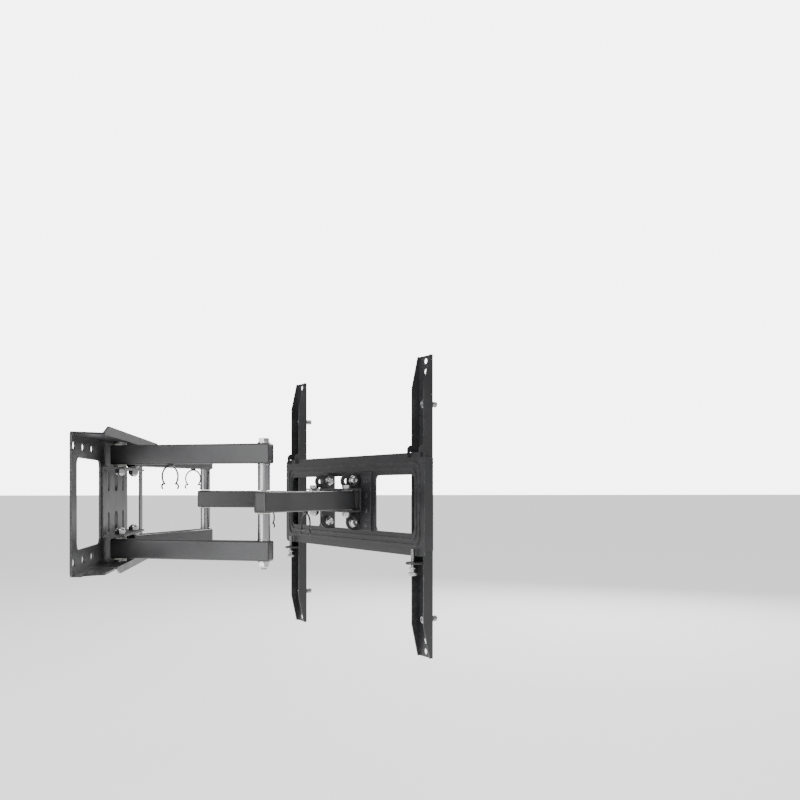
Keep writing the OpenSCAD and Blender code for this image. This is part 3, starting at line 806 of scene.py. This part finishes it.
def soften(node: str, body: str, slot: Slot, finish: Finish, edge: float,
           extra: Callable[[Workpiece], None] | None = None) -> bpy.types.Object:
    """Makes a piece of a frame node with its edges rounded.

    Args:
        node: the frame node's name, which the piece also takes.
        body: the body it moves with.
        slot: the record's material slot.
        finish: what it is dressed in.
        edge: how wide its edges are rounded.
        extra: adds what the frame node leaves out.

    Returns:
        The piece.
    """
    work = Workpiece()
    work.copy_frame(node)
    if extra is not None:
        extra(work)
    return work.finished(node + "_formed", body, slot, finish, (node,), edge)


# ---------------------------------------------------------------- where things are


@dataclass(frozen=True)
class Layout:
    """The pivots and directions that the sub-assemblies share."""

    pivots: dict[str, Vector]
    across: Vector
    outward: Vector
    tilt: Vector

    @classmethod
    def read(cls) -> "Layout":
        """Reads the layout from the frame's joints and boxes.

        Returns:
            The layout.
        """
        spots = {joint["name"]: joint for joint in frame["joints"]}
        pivots = {name: Vector(spots[name]["pos_m"])
                  for name in ("near_shoulder", "near_elbow", "near_head_pivot",
                               "far_head_pivot", "far_shoulder")}
        low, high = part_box("far_elbow_posts")
        pivots["far_elbow"] = Vector(((low.x + high.x) / 2, (low.y + high.y) / 2, 0.0))
        across = Vector(spots["tilt"]["axis"]).normalized()
        return cls(pivots, across, across.cross(UP), Vector(spots["tilt"]["pos_m"]))

    def head_mid(self) -> Vector:
        """Gives the point midway between the head's two pivots."""
        return (self.pivots["near_head_pivot"] + self.pivots["far_head_pivot"]) / 2

    def on_head(self, along: float, out: float, up: float) -> Vector:
        """Gives a point of the head.

        Args:
            along: distance along the screen plate from the head's middle.
            out: distance from the head's pivots towards the screen.
            up: height.

        Returns:
            The point in the row frame.
        """
        return self.head_mid() + along * self.across + out * self.outward + up * UP


# ---------------------------------------------------------------- fasteners


@dataclass(frozen=True)
class PivotHardware:
    """The sizes of the bolts, nuts, washers and bushes at every pivot."""

    shank: float = 4.0 * MM
    pitch: float = 1.25 * MM
    flats: float = 13.0 * MM
    head: float = 5.3 * MM
    nut: float = 7.5 * MM
    collar: float = 2.0 * MM
    washer_outer: float = 8.5 * MM
    washer: float = 1.6 * MM
    bush_inner: float = 4.05 * MM
    bush_outer: float = 6.05 * MM
    bush_length: float = 9.0 * MM
    flange_outer: float = 8.5 * MM
    gap: float = 0.3 * MM

    def bolt(self, work: Workpiece, place: Matrix, length: float, thread: float) -> None:
        """Makes a hexagon bolt whose head stands above z = 0.

        Args:
            work: the mesh to add to.
            place: where the head's underside is, with the tip below.
            length: length of the shank.
            thread: length of its threaded end.
        """
        work.hex_prism(self.flats, self.head, place)
        work.threaded(self.shank, self.pitch, length - thread, length, place @ FLIP)

    def lock_nut(self, work: Workpiece, place: Matrix) -> None:
        """Makes a nut that stands on its place, with a domed collar on top."""
        hexagon = self.nut - self.collar
        work.hex_prism(self.flats, hexagon, place, both=True)
        rim = self.flats / 2 - 0.8 * MM
        work.turn([(self.shank, hexagon - 0.5 * MM), (rim, hexagon - 0.5 * MM),
                   (rim, self.nut - 0.9 * MM), (rim - 0.4 * MM, self.nut - 0.25 * MM),
                   (rim - 1.0 * MM, self.nut), (self.shank + 0.5 * MM, self.nut),
                   (self.shank + 0.35 * MM, self.nut - 0.4 * MM)], place, ring=True)

    def bush(self, work: Workpiece, place: Matrix, flange: float) -> None:
        """Makes a flanged bush whose flange stands on its place.

        Args:
            work: the mesh to add to.
            place: the tube's outer face, with Z out of the tube.
            flange: thickness of the flange.
        """
        soft = 0.3 * MM
        work.turn([(self.bush_inner, -self.bush_length), (self.bush_outer, -self.bush_length),
                   (self.bush_outer, 0.0), (self.flange_outer, 0.0),
                   (self.flange_outer, flange - soft), (self.flange_outer - soft, flange),
                   (self.bush_inner + soft, flange), (self.bush_inner, flange - soft)],
                  place, ring=True)


HARDWARE = PivotHardware()


def levels(pivot: Vector, height: float) -> tuple[Matrix, Matrix]:
    """Gives a place above the mount's middle height and its mirror image below.

    Args:
        pivot: the pivot that both lie on.
        height: how far each is from the middle height.

    Returns:
        The two places, with Z away from the middle.
    """
    spot = Matrix.Translation(Vector((pivot.x, pivot.y, 0.0)))
    return lifted(spot, height), lifted(spot @ FLIP, height)


# ---------------------------------------------------------------- wall side


@dataclass
class WallSide:
    """The slotted wall plate, its welded channel and the shoulder bolts."""

    layout: Layout
    edge: float = 0.55 * MM
    weld_radius: float = 1.3 * MM
    weld_sink: float = 0.3 * MM
    stitch: float = 17.0 * MM
    stitch_share: float = 0.62
    tip_out: float = 1.0 * MM
    spare_thread: float = 5.0 * MM

    def build(self) -> None:
        """Makes every piece that stays on the wall."""
        soften("wall_plate", "wall", Slot.SHEET, SHEET, self.edge)
        soften("pivot_channel", "wall", Slot.SHEET, SHEET, self.edge)
        self.channel_welds()
        for side in Side:
            self.shoulder(side)

    def channel_welds(self) -> None:
        """Lays stitch welds where the channel meets the plate."""
        work = Workpiece()
        low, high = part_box("pivot_channel")
        across = Vector((1.0, 0.0, 0.0))
        shares = (-self.stitch_share, 0.0, self.stitch_share)
        seams = [(x, share * high.z, UP) for x in (low.x, high.x) for share in shares]
        seams += [(share * high.x, z, across) for share in shares for z in (low.z, high.z)]
        for x, z, along in seams:
            middle = Vector((x, high.y - self.weld_sink, z))
            reach = self.stitch / 2 * along
            work.weld(middle - reach, middle + reach, self.weld_radius)
        work.finished("channel_welds", "wall", Slot.SHEET, SHEET)

    def shoulder(self, side: Side) -> None:
        """Makes the bolts, nuts and washers of one shoulder.

        Args:
            side: which shoulder.
        """
        name = side.value
        pivot = self.layout.pivots[f"{name}_shoulder"]
        bolts = Workpiece()
        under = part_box(f"{name}_shoulder_bolts")[1].z - HARDWARE.head
        nut_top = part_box(f"{name}_shoulder_nuts")[1].z
        length = under - (nut_top - HARDWARE.nut - self.tip_out)
        for place in levels(pivot, under):
            HARDWARE.bolt(bolts, place, length, HARDWARE.nut + self.spare_thread)
        bolts.finished(f"{name}_shoulder_hex_bolts", "wall", Slot.ZINC, ZINC,
                       (f"{name}_shoulder_bolts",))
        nuts = Workpiece()
        for place in levels(pivot, nut_top):
            HARDWARE.lock_nut(nuts, place @ FLIP)
        nuts.finished(f"{name}_shoulder_lock_nuts", "wall", Slot.ZINC, ZINC,
                      (f"{name}_shoulder_nuts",))
        washers = Workpiece()
        tube_low, tube_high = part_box(f"{name}_upper_tube")
        bush_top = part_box(f"{name}_arm_bushes")[1].z
        below = tube_low.z - (bush_top - tube_high.z) - HARDWARE.gap - HARDWARE.washer
        for height in (under - HARDWARE.washer, bush_top + HARDWARE.gap, below):
            for place in levels(pivot, height):
                washers.washer(HARDWARE.shank, HARDWARE.washer_outer, HARDWARE.washer, place)
        washers.finished(f"{name}_shoulder_flat_washers", "wall", Slot.ZINC, ZINC,
                         (f"{name}_shoulder_washers",))


# ---------------------------------------------------------------- arms


@dataclass
class TubeCaps:
    """The plastic caps that close an arm tube."""

    width: float = 18.0 * MM
    round: float = 2.5 * MM
    over: float = 8.0 * MM
    thick: float = 2.0 * MM

    def fit(self, work: Workpiece, place: Matrix, height: float) -> None:
        """Makes one cap at a pivot, with local X out of the tube.

        Args:
            work: the mesh to add to.
            place: the pivot, in the middle of the tube.
            height: the tube's height.
        """
        def section(inset: float, x: float) -> Row:
            """Draws the cap's outline, smaller by an inset, at x."""
            radius = max(0.4 * MM, self.round - 0.6 * inset)
            return [p + Vector((self.over + x, 0, 0))
                    for p in round_corners(self.width - 2 * inset, height - 2 * inset, radius)]

        work.skin([section(2.2 * MM, -1.4 * MM), section(2.2 * MM, 0.0), section(0.0, 0.0),
                   section(0.0, 1.1 * MM), section(0.25 * MM, 1.65 * MM),
                   section(0.8 * MM, self.thick), section(3.0 * MM, self.thick),
                   section(3.4 * MM, self.thick - 0.5 * MM)], place)


@dataclass
class CableClip:
    """A wire loop with curled, beaded ends, that hangs from a tube."""

    along: float
    turned: float = 0.0
    loop: float = 14.0 * MM
    wire: float = 1.15 * MM
    opening: float = 40.0
    curl: float = 3.5 * MM
    boss: float = 2.4 * MM

    def hang(self, work: Workpiece, place: Matrix) -> None:
        """Makes the clip below its place, with its loop across local X.

        Args:
            work: the mesh to add to.
            place: the tube's underside, with Z up.
        """
        def arc(centre: Vector, radius: float, start: float, turn: float, steps: int) -> Row:
            """Draws an arc whose angles count from straight down."""
            angles = [start + turn * k / steps for k in range(steps + 1)]
            return [centre + radius * Vector((0.0, math.sin(a), -math.cos(a))) for a in angles]

        gap = math.radians(self.opening)
        middle = Vector((0.0, 0.0, -self.boss - self.loop))
        right = arc(middle, self.loop, gap, math.pi - gap, 28)
        centre = middle + (self.loop + self.curl) * Vector((0.0, math.sin(gap), -math.cos(gap)))
        half = arc(centre, self.curl, gap, math.pi, 12)[:-1] + right
        mirrored = [Vector((0.0, -p.y, p.z)) for p in reversed(half[:-1])]
        work.sweep(half + mirrored, self.wire, place)
        bead = 1.02 * self.wire
        rounds = [math.pi * (k + 0.5) / 8 for k in range(8)]
        ball = [(bead * math.sin(angle), -bead * math.cos(angle)) for angle in rounds]
        for tip in (half[0], mirrored[-1]):
            work.turn(ball, place @ Matrix.Translation(tip), steps=12)
        work.turn([(2.2 * MM, -self.boss - 1.0 * MM), (3.4 * MM, -self.boss - 0.4 * MM),
                   (3.9 * MM, -self.boss * 0.55), (4.0 * MM, -0.3 * MM), (3.8 * MM, 0.0)],
                  place, steps=28)

    def fit(self, node: str, body: str, pivot: Vector, along: Vector) -> None:
        """Makes the clip below a tube, as high as the frame's clip starts.

        Args:
            node: the clip's frame node.
            body: the body it moves with.
            pivot: the pivot that its distance along the tube counts from.
            along: the tube's direction.
        """
        spot = pivot + self.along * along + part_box(node)[1].z * UP
        turn = Matrix.Rotation(math.radians(self.turned), 4, "Z")
        work = Workpiece()
        self.hang(work, axes_at(spot, along) @ turn)
        work.finished(node + "_wire", body, Slot.WIRE, WIRE, (node,), sharp=60.0)


@dataclass
class RearArm:
    """One rear arm: two tubes, their caps and bushes, and the elbow's posts and bolt."""

    layout: Layout
    side: Side
    clip: CableClip
    caps: TubeCaps = field(default_factory=TubeCaps)
    edge: float = 0.35 * MM

    def build(self) -> None:
        """Makes every piece of the arm."""
        name = self.side.value
        body = f"{name}_rear_arm"
        for level in ("upper", "lower"):
            soften(f"{name}_{level}_tube", body, Slot.TUBE, TUBE, self.edge)
        low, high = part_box(f"{name}_upper_tube")
        self.arm_z = (low.z + high.z) / 2
        self.height = high.z - low.z
        self.shoulder = self.layout.pivots[f"{name}_shoulder"]
        self.elbow = self.layout.pivots[f"{name}_elbow"]
        self.along = (self.elbow - self.shoulder).normalized()
        self.close_tubes(body)
        self.line_shoulder(body)
        self.stack_elbow(body)
        self.clip.fit(f"{name}_arm_clip", body, self.shoulder, self.along)

    def close_tubes(self, body: str) -> None:
        """Caps both tubes."""
        work = Workpiece()
        for z in (self.arm_z, -self.arm_z):
            self.caps.fit(work, axes_at(self.elbow + z * UP, self.along), self.height)
            self.caps.fit(work, axes_at(self.shoulder + z * UP, -self.along), self.height)
        node = f"{self.side.value}_arm_caps"
        work.finished(node + "_moulded", body, Slot.CAP, CAP, (node,))

    def line_shoulder(self, body: str) -> None:
        """Puts the nylon bushes in the tubes' shoulder ends."""
        work = Workpiece()
        node = f"{self.side.value}_arm_bushes"
        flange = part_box(node)[1].z - self.arm_z - self.height / 2
        for z in (self.arm_z, -self.arm_z):
            for way in (1, -1):
                place = Matrix.Translation(self.shoulder + (z + way * self.height / 2) * UP)
                HARDWARE.bush(work, place if way > 0 else place @ FLIP, flange)
        work.finished(node + "_turned", body, Slot.BUSH, BUSH, (node,))

    def stack_elbow(self, body: str) -> None:
        """Makes the elbow's posts, bolt, nut and washers."""
        name = self.side.value
        spot = Matrix.Translation(self.elbow)
        posts = Workpiece()
        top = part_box(f"{name}_elbow_posts")[1].z
        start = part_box(f"{name}_forearm_bushes")[1].z + HARDWARE.gap
        for place in (spot, spot @ FLIP):
            posts.turn([(4.15 * MM, start + 0.2 * MM), (4.5 * MM, start), (7.5 * MM, start),
                        (8.0 * MM, start + 0.5 * MM), (8.0 * MM, top - 2.1 * MM),
                        (8.25 * MM, top - 1.9 * MM), (8.6 * MM, top - 1.6 * MM),
                        (8.6 * MM, top - 0.4 * MM), (8.2 * MM, top), (4.5 * MM, top),
                        (4.15 * MM, top - 0.2 * MM)], place, ring=True, steps=72)
        posts.finished(f"{name}_elbow_sleeves", body, Slot.SLEEVE, SLEEVE, (f"{name}_elbow_posts",))
        tube_top = self.arm_z + self.height / 2
        washers = Workpiece()
        for way in (spot, spot @ FLIP):
            washers.washer(HARDWARE.shank, HARDWARE.washer_outer, HARDWARE.washer,
                           lifted(way, tube_top))
        washers.finished(f"{name}_elbow_flat_washers", body, Slot.ZINC, ZINC,
                         (f"{name}_elbow_washers",))
        seat = tube_top + HARDWARE.washer
        nut = Workpiece()
        HARDWARE.lock_nut(nut, lifted(spot @ FLIP, seat))
        nut.finished(f"{name}_elbow_lock_nut", body, Slot.ZINC, ZINC, (f"{name}_elbow_nut",))
        bolt = Workpiece()
        spare, soft = 6.0 * MM, 0.3 * MM
        reach = HARDWARE.nut + 2.0 * MM
        head = lifted(spot, seat)
        if self.side is Side.NEAR:
            HARDWARE.bolt(bolt, head, 2 * seat + reach, reach + spare)
            node = "near_elbow_bolt"
        else:
            bolt.hex_prism(HARDWARE.flats, HARDWARE.head, head)
            bolt.turn([(HARDWARE.shank, 0.0), (HARDWARE.shank, start - seat + soft),
                       (HARDWARE.shank - soft, start - seat)], head)
            bolt.threaded(HARDWARE.shank, HARDWARE.pitch, seat - start - spare,
                          seat - start + reach, lifted(spot @ FLIP, start))
            node = "far_elbow_bolts"
        bolt.finished(f"{name}_elbow_hex_bolt", body, Slot.ZINC, ZINC, (node,))


@dataclass
class Forearm:
    """One forearm: a single tube with its caps, bushes and clip."""

    layout: Layout
    side: Side
    clip: CableClip
    caps: TubeCaps = field(default_factory=TubeCaps)
    edge: float = 0.35 * MM

    def build(self) -> None:
        """Makes every piece of the forearm."""
        name = self.side.value
        body = f"{name}_forearm"
        soften(f"{name}_forearm_tube", body, Slot.TUBE, TUBE, self.edge)
        low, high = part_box(f"{name}_forearm_tube")
        height = high.z - low.z
        elbow = self.layout.pivots[f"{name}_elbow"]
        head = self.layout.pivots[f"{name}_head_pivot"]
        along = (head - elbow).normalized()
        caps = Workpiece()
        self.caps.fit(caps, axes_at(head, along), height)
        self.caps.fit(caps, axes_at(elbow, -along), height)
        caps.finished(f"{name}_forearm_caps_moulded", body, Slot.CAP, CAP,
                      (f"{name}_forearm_caps",))
        bushes = Workpiece()
        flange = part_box(f"{name}_forearm_bushes")[1].z - high.z
        for pivot in (elbow, head):
            spot = Matrix.Translation(pivot)
            for way in (spot, spot @ FLIP):
                HARDWARE.bush(bushes, lifted(way, high.z), flange)
        bushes.finished(f"{name}_forearm_bushes_turned", body, Slot.BUSH, BUSH,
                        (f"{name}_forearm_bushes",))
        self.clip.fit(f"{name}_forearm_clip", body, elbow, along)


# ---------------------------------------------------------------- head


@dataclass
class Head:
    """The head bracket between the forearms, with its pivot and tilt bolts."""

    layout: Layout
    lug_inset: float = 15.5 * MM
    sheet: float = 2.5 * MM
    edge: float = 0.5 * MM
    tilt_washer: float = 8.0 * MM
    button: float = 4.4 * MM
    weld_span: tuple[float, float] = (9.5 * MM, 17.0 * MM)
    weld_radius: float = 1.2 * MM
    weld_lift: float = 0.2 * MM

    def build(self) -> None:
        """Makes every piece of the head."""
        soften("head_bracket", "head", Slot.STEEL, STEEL, self.edge)
        self.weld_lugs()
        self.pivot_bolts()
        self.tilt_bolts()

    def weld_lugs(self) -> None:
        """Welds the four lugs to the bracket's leaves."""
        work = Workpiece()
        leaf = -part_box("head_pivot_nuts")[1].z + self.weld_lift
        for along in (-self.lug_place(), self.lug_place()):
            for z in (leaf, -leaf):
                start, end = (self.layout.on_head(along, out, z) for out in self.weld_span)
                work.weld(start, end, self.weld_radius)
        work.finished("lug_welds", "head", Slot.STEEL, STEEL)

    def lug_place(self) -> float:
        """Gives how far the lugs' inner faces are from the head's middle."""
        pivots = self.layout.pivots
        return (pivots["far_head_pivot"] - pivots["near_head_pivot"]).length / 2 - self.lug_inset

    def pivot_bolts(self) -> None:
        """Makes the two forearm pivot bolts with their nuts."""
        low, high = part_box("head_pivot_bolts")
        seat = high.z - HARDWARE.head
        bolts, nuts = Workpiece(), Workpiece()
        for name in ("near_head_pivot", "far_head_pivot"):
            spot = axes_at(self.layout.pivots[name], self.layout.across)
            HARDWARE.bolt(bolts, lifted(spot, seat), seat - low.z, HARDWARE.nut + 3.0 * MM)
            HARDWARE.lock_nut(nuts, lifted(spot @ FLIP, seat))
        bolts.finished("head_pivot_hex_bolts", "head", Slot.ZINC, ZINC, ("head_pivot_bolts",))
        nuts.finished("head_pivot_lock_nuts", "head", Slot.ZINC, ZINC, ("head_pivot_nuts",))

    def tilt_bolts(self) -> None:
        """Makes the four tilt bolts with their nuts and washers."""
        bolts, nuts, washers = Workpiece(), Workpiece(), Workpiece()
        inner_face = self.lug_place()
        base = inner_face + 2 * self.sheet + 2 * HARDWARE.gap
        axis_z = self.layout.tilt.z
        out = (self.layout.tilt - self.layout.head_mid()).dot(self.layout.outward)
        upper_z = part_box("tilt_washers")[1].z - self.tilt_washer
        for way in (-1, 1):
            for z in (axis_z, upper_z):
                place = axes_at(self.layout.on_head(0, out, z), UP, way * self.layout.across)
                washers.washer(HARDWARE.shank, self.tilt_washer, HARDWARE.washer,
                               lifted(place, base))
                head = lifted(place, base + HARDWARE.washer)
                bolts.skin(self.button_rows(self.button), head)
                length = base + HARDWARE.washer - inner_face + HARDWARE.nut + 1.0 * MM
                bolts.threaded(HARDWARE.shank, HARDWARE.pitch, length - HARDWARE.nut - 4 * MM,
                               length, head @ FLIP)
                HARDWARE.lock_nut(nuts, lifted(place, inner_face) @ FLIP)
        bolts.finished("tilt_button_bolts", "head", Slot.ZINC, ZINC, ("tilt_bolts",))
        nuts.finished("tilt_lock_nuts", "head", Slot.ZINC, ZINC, ("tilt_nuts",))
        washers.finished("tilt_flat_washers", "head", Slot.ZINC, ZINC, ("tilt_washers",))

    @staticmethod
    def button_rows(height: float) -> list[Row]:
        """Draws a button head with a hexagon socket, from base to socket floor.

        Args:
            height: the head's height.

        Returns:
            The head's rows.
        """
        steps = 72
        socket = [math.tau * k / steps for k in range(steps)]

        def hex_row(flats: float, z: float) -> Row:
            """Draws a hexagon."""
            return polar_row((hex_reach(flats, a), a, z) for a in socket)

        rounds = [(6.6, 0.0), (7.0, 0.12), (6.9, 0.3), (6.5, 0.55), (5.9, 0.75), (5.1, 0.91),
                  (4.2, 0.99), (3.6, 1.0)]
        rows = [circle_row(r * MM, share * height, steps) for r, share in rounds]
        return rows + [hex_row(flats * MM, share * height)
                       for flats, share in ((5.4, 1.0), (5.0, 0.94), (5.0, 0.42))]


# ---------------------------------------------------------------- screen side


@dataclass
class ScreenBracket:
    """The tilting cheeks and the stamped plate that carries the rails."""

    layout: Layout
    rivet_along: float = 67.1 * MM
    rivet_seat: float = 26.0 * MM
    rivet_rows: tuple[float, ...] = (-32 * MM, -11 * MM, 11 * MM, 32 * MM)

    def build(self) -> None:
        """Makes the cheeks, the plate and its rivets."""
        for side in Side:
            soften(f"{side.value}_cheek", "screen_bracket", Slot.STEEL, STEEL, 0.5 * MM)
        soften("screen_plate", "screen_bracket", Slot.SHEET, SHEET, 0.45 * MM)
        self.rivets()

    def rivets(self) -> None:
        """Makes the domed rivets that hold the cheeks to the plate."""
        low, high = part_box("cheek_rivets")
        work = Workpiece()
        middle = (low.z + high.z) / 2
        for side in (-1, 1):
            for z in self.rivet_rows:
                spot = self.layout.on_head(side * self.rivet_along, self.rivet_seat, middle + z)
                place = pointing(spot, -self.layout.outward)
                work.turn([(2.4 * MM, -5.0 * MM), (2.4 * MM, -0.1 * MM), (4.3 * MM, 0.0),
                           (4.4 * MM, 0.25 * MM), (4.0 * MM, 0.7 * MM), (3.1 * MM, 1.0 * MM),
                           (1.6 * MM, 1.17 * MM), (0.4 * MM, 1.2 * MM)], place, steps=32)
        work.finished("cheek_rivet_heads", "screen_bracket", Slot.STEEL, STEEL, ("cheek_rivets",))


@dataclass
class Rail:
    """An upright rail with its lock leaf, lock screw and screen screws."""

    layout: Layout
    side: Side
    knob_ribs: int = 24
    lock_thread: float = 3.0 * MM
    ring_z: float = 9.5 * MM
    screw_neck: float = 4.9 * MM
    screw_length: float = 19.6 * MM
    big_washer: float = 9.5 * MM

    def build(self) -> None:
        """Makes every piece of the rail."""
        name = self.side.value
        body = f"{name}_rail"
        soften(f"{name}_rail", body, Slot.SHEET, SHEET, 0.45 * MM)
        soften(f"{name}_lock_leaf", body, Slot.SHEET, SHEET, 0.35 * MM)
        self.lock_screw(f"{name}_lock")
        self.screen_screws(body)

    def lock_screw(self, body: str) -> None:
        """Makes the thumb screw with its snap ring."""
        node = f"{self.side.value}_lock_screw"
        low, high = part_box(node)
        place = Matrix.Translation(Vector(((low.x + high.x) / 2, (low.y + high.y) / 2, low.z)))
        work = Workpiece()
        steps = 4 * self.knob_ribs

        def ribbed(radius: float, z: float, depth: float) -> Row:
            """Draws the knob's ribbed outline."""
            angles = [math.tau * k / steps for k in range(steps)]
            return polar_row((radius - depth * (0.5 + 0.5 * math.cos(self.knob_ribs * a)), a, z)
                             for a in angles)

        knob = ((4.6, 0.0, 0.0), (5.6, 0.3, 0.1), (6.0, 0.9, 0.45), (6.0, 4.2, 0.45),
                (5.5, 4.8, 0.1), (4.4, 5.0, 0.0))
        work.skin([ribbed(*(size * MM for size in row)) for row in knob], place)
        ring = ((3.0, 0.0), (4.8, 0.0), (5.0, 0.2), (5.0, 1.8), (4.8, 2.0), (3.0, 2.0))
        work.turn([(r * MM, self.ring_z + rise * MM) for r, rise in ring], place, ring=True)
        work.threaded(self.lock_thread, 1.0 * MM, 12.0 * MM, high.z - low.z, place)
        work.finished(node + "_thumb", body, Slot.SLEEVE, SLEEVE, (node,))

    def screen_screws(self, body: str) -> None:
        """Makes the screws and washers that hold the screen."""
        name = self.side.value
        low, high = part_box(f"{name}_screen_washers")
        radius = self.big_washer
        screws, washers = Workpiece(), Workpiece()
        middle = (low + high) / 2
        half = HARDWARE.washer / 2
        for z in (low.z + radius, high.z - radius):
            spot = Vector((middle.x, middle.y, z))
            inward = pointing(spot + half * self.layout.outward, -self.layout.outward)
            washers.washer(HARDWARE.shank, radius, HARDWARE.washer, inward)
            seat = lifted(inward, HARDWARE.washer)
            screws.skin(Head.button_rows(4.4 * MM), seat)
            screws.threaded(HARDWARE.shank, HARDWARE.pitch, self.screw_neck, self.screw_length,
                            seat @ FLIP, neck=HARDWARE.shank - 0.5 * MM)
        screws.finished(f"{name}_screen_button_screws", body, Slot.ZINC, ZINC,
                        (f"{name}_screen_screws",))
        washers.finished(f"{name}_screen_flat_washers", body, Slot.ZINC, ZINC,
                         (f"{name}_screen_washers",))


# ---------------------------------------------------------------- studio


@dataclass
class Studio:
    """The floor, the soft lights and the camera."""

    floor_z: float = -0.46
    floor_half: float = 60.0
    surround: float = 0.34
    backdrop: float = 6.0
    eye: Spot = (-1.3199, -0.2352, 0.0185)
    heading: float = -7.6
    lens: float = 40.52
    rise: float = 0.110

    def build(self) -> None:
        """Sets up the whole studio."""
        self.lay_floor()
        self.light()
        self.place_camera()

    def lay_floor(self) -> None:
        """Lays a wide pale floor."""
        data = bpy.data.meshes.new("studio_floor")
        half = self.floor_half
        data.from_pydata([(-half, -half, self.floor_z), (half, -half, self.floor_z),
                          (half, half, self.floor_z), (-half, half, self.floor_z)], [], [(0, 1, 2, 3)])
        floor = bpy.data.objects.new("studio_floor", data)
        data.materials.append(FLOOR.material())
        bpy.context.scene.collection.objects.link(floor)

    def softbox(self, name: str, spot: Spot, target: Spot, size: float, power: float) -> None:
        """Hangs a soft square light.

        Args:
            name: the light's name.
            spot: where it hangs.
            target: what it points at.
            size: its width and height.
            power: its power in watts.
        """
        data = bpy.data.lights.new(name, "AREA")
        data.shape = "SQUARE"
        data.size = size
        data.energy = power
        lamp = bpy.data.objects.new(name, data)
        lamp.location = spot
        lamp.rotation_euler = (Vector(target) - Vector(spot)).to_track_quat("-Z", "Y").to_euler()
        bpy.context.scene.collection.objects.link(lamp)

    def light(self) -> None:
        """Lights the mount with a bright surround and four soft boxes."""
        world = bpy.data.worlds.new("studio")
        bpy.context.scene.world = world
        world.use_nodes = True
        nodes = NodeTree(world.node_tree)
        glow = world.node_tree.nodes["Background"]
        glow.inputs["Color"].default_value = (1.0, 1.0, 1.0, 1.0)
        seen = nodes.add("ShaderNodeLightPath").outputs["Is Camera Ray"]
        strength = nodes.spread(seen, 0.0, 1.0, self.surround, self.backdrop)
        nodes.link(strength, glow.inputs["Strength"])
        self.softbox("key", (-1.13, 1.09, 0.12), (-0.05, -0.12, 0.0), 1.7, 34.0)
        self.softbox("top", (-0.3, -0.6, 1.7), (0.0, -0.2, 0.0), 1.2, 15.0)
        self.softbox("fill", (-2.1, -0.1, 0.7), (-0.1, -0.1, 0.0), 0.9, 12.0)
        self.softbox("front", (2.2, -1.6, 1.2), (0.0, -0.2, 0.0), 1.4, 70.0)

    def place_camera(self) -> None:
        """Places the camera at the mount's side."""
        data = bpy.data.cameras.new("camera")
        data.lens = self.lens
        data.sensor_width = 36.0
        data.shift_y = self.rise
        camera = bpy.data.objects.new("camera", data)
        camera.location = self.eye
        turn = math.radians(self.heading)
        view = Vector((math.cos(turn), math.sin(turn), 0.0))
        camera.rotation_euler = view.to_track_quat("-Z", "Y").to_euler()
        bpy.context.scene.collection.objects.link(camera)
        bpy.context.scene.camera = camera


def main() -> None:
    """Builds every sub-assembly and the studio, in order."""
    logging.basicConfig(level=logging.INFO, format="%(name)s: %(message)s")
    layout = Layout.read()
    WallSide(layout).build()
    RearArm(layout, Side.NEAR, CableClip(75 * MM, -18.0)).build()
    RearArm(layout, Side.FAR, CableClip(170 * MM)).build()
    Forearm(layout, Side.NEAR, CableClip(98 * MM, -31.0)).build()
    Forearm(layout, Side.FAR, CableClip(127 * MM)).build()
    Head(layout).build()
    ScreenBracket(layout).build()
    for side in Side:
        Rail(layout, side).build()
    Studio().build()


if __name__ == "__main__":
    main()
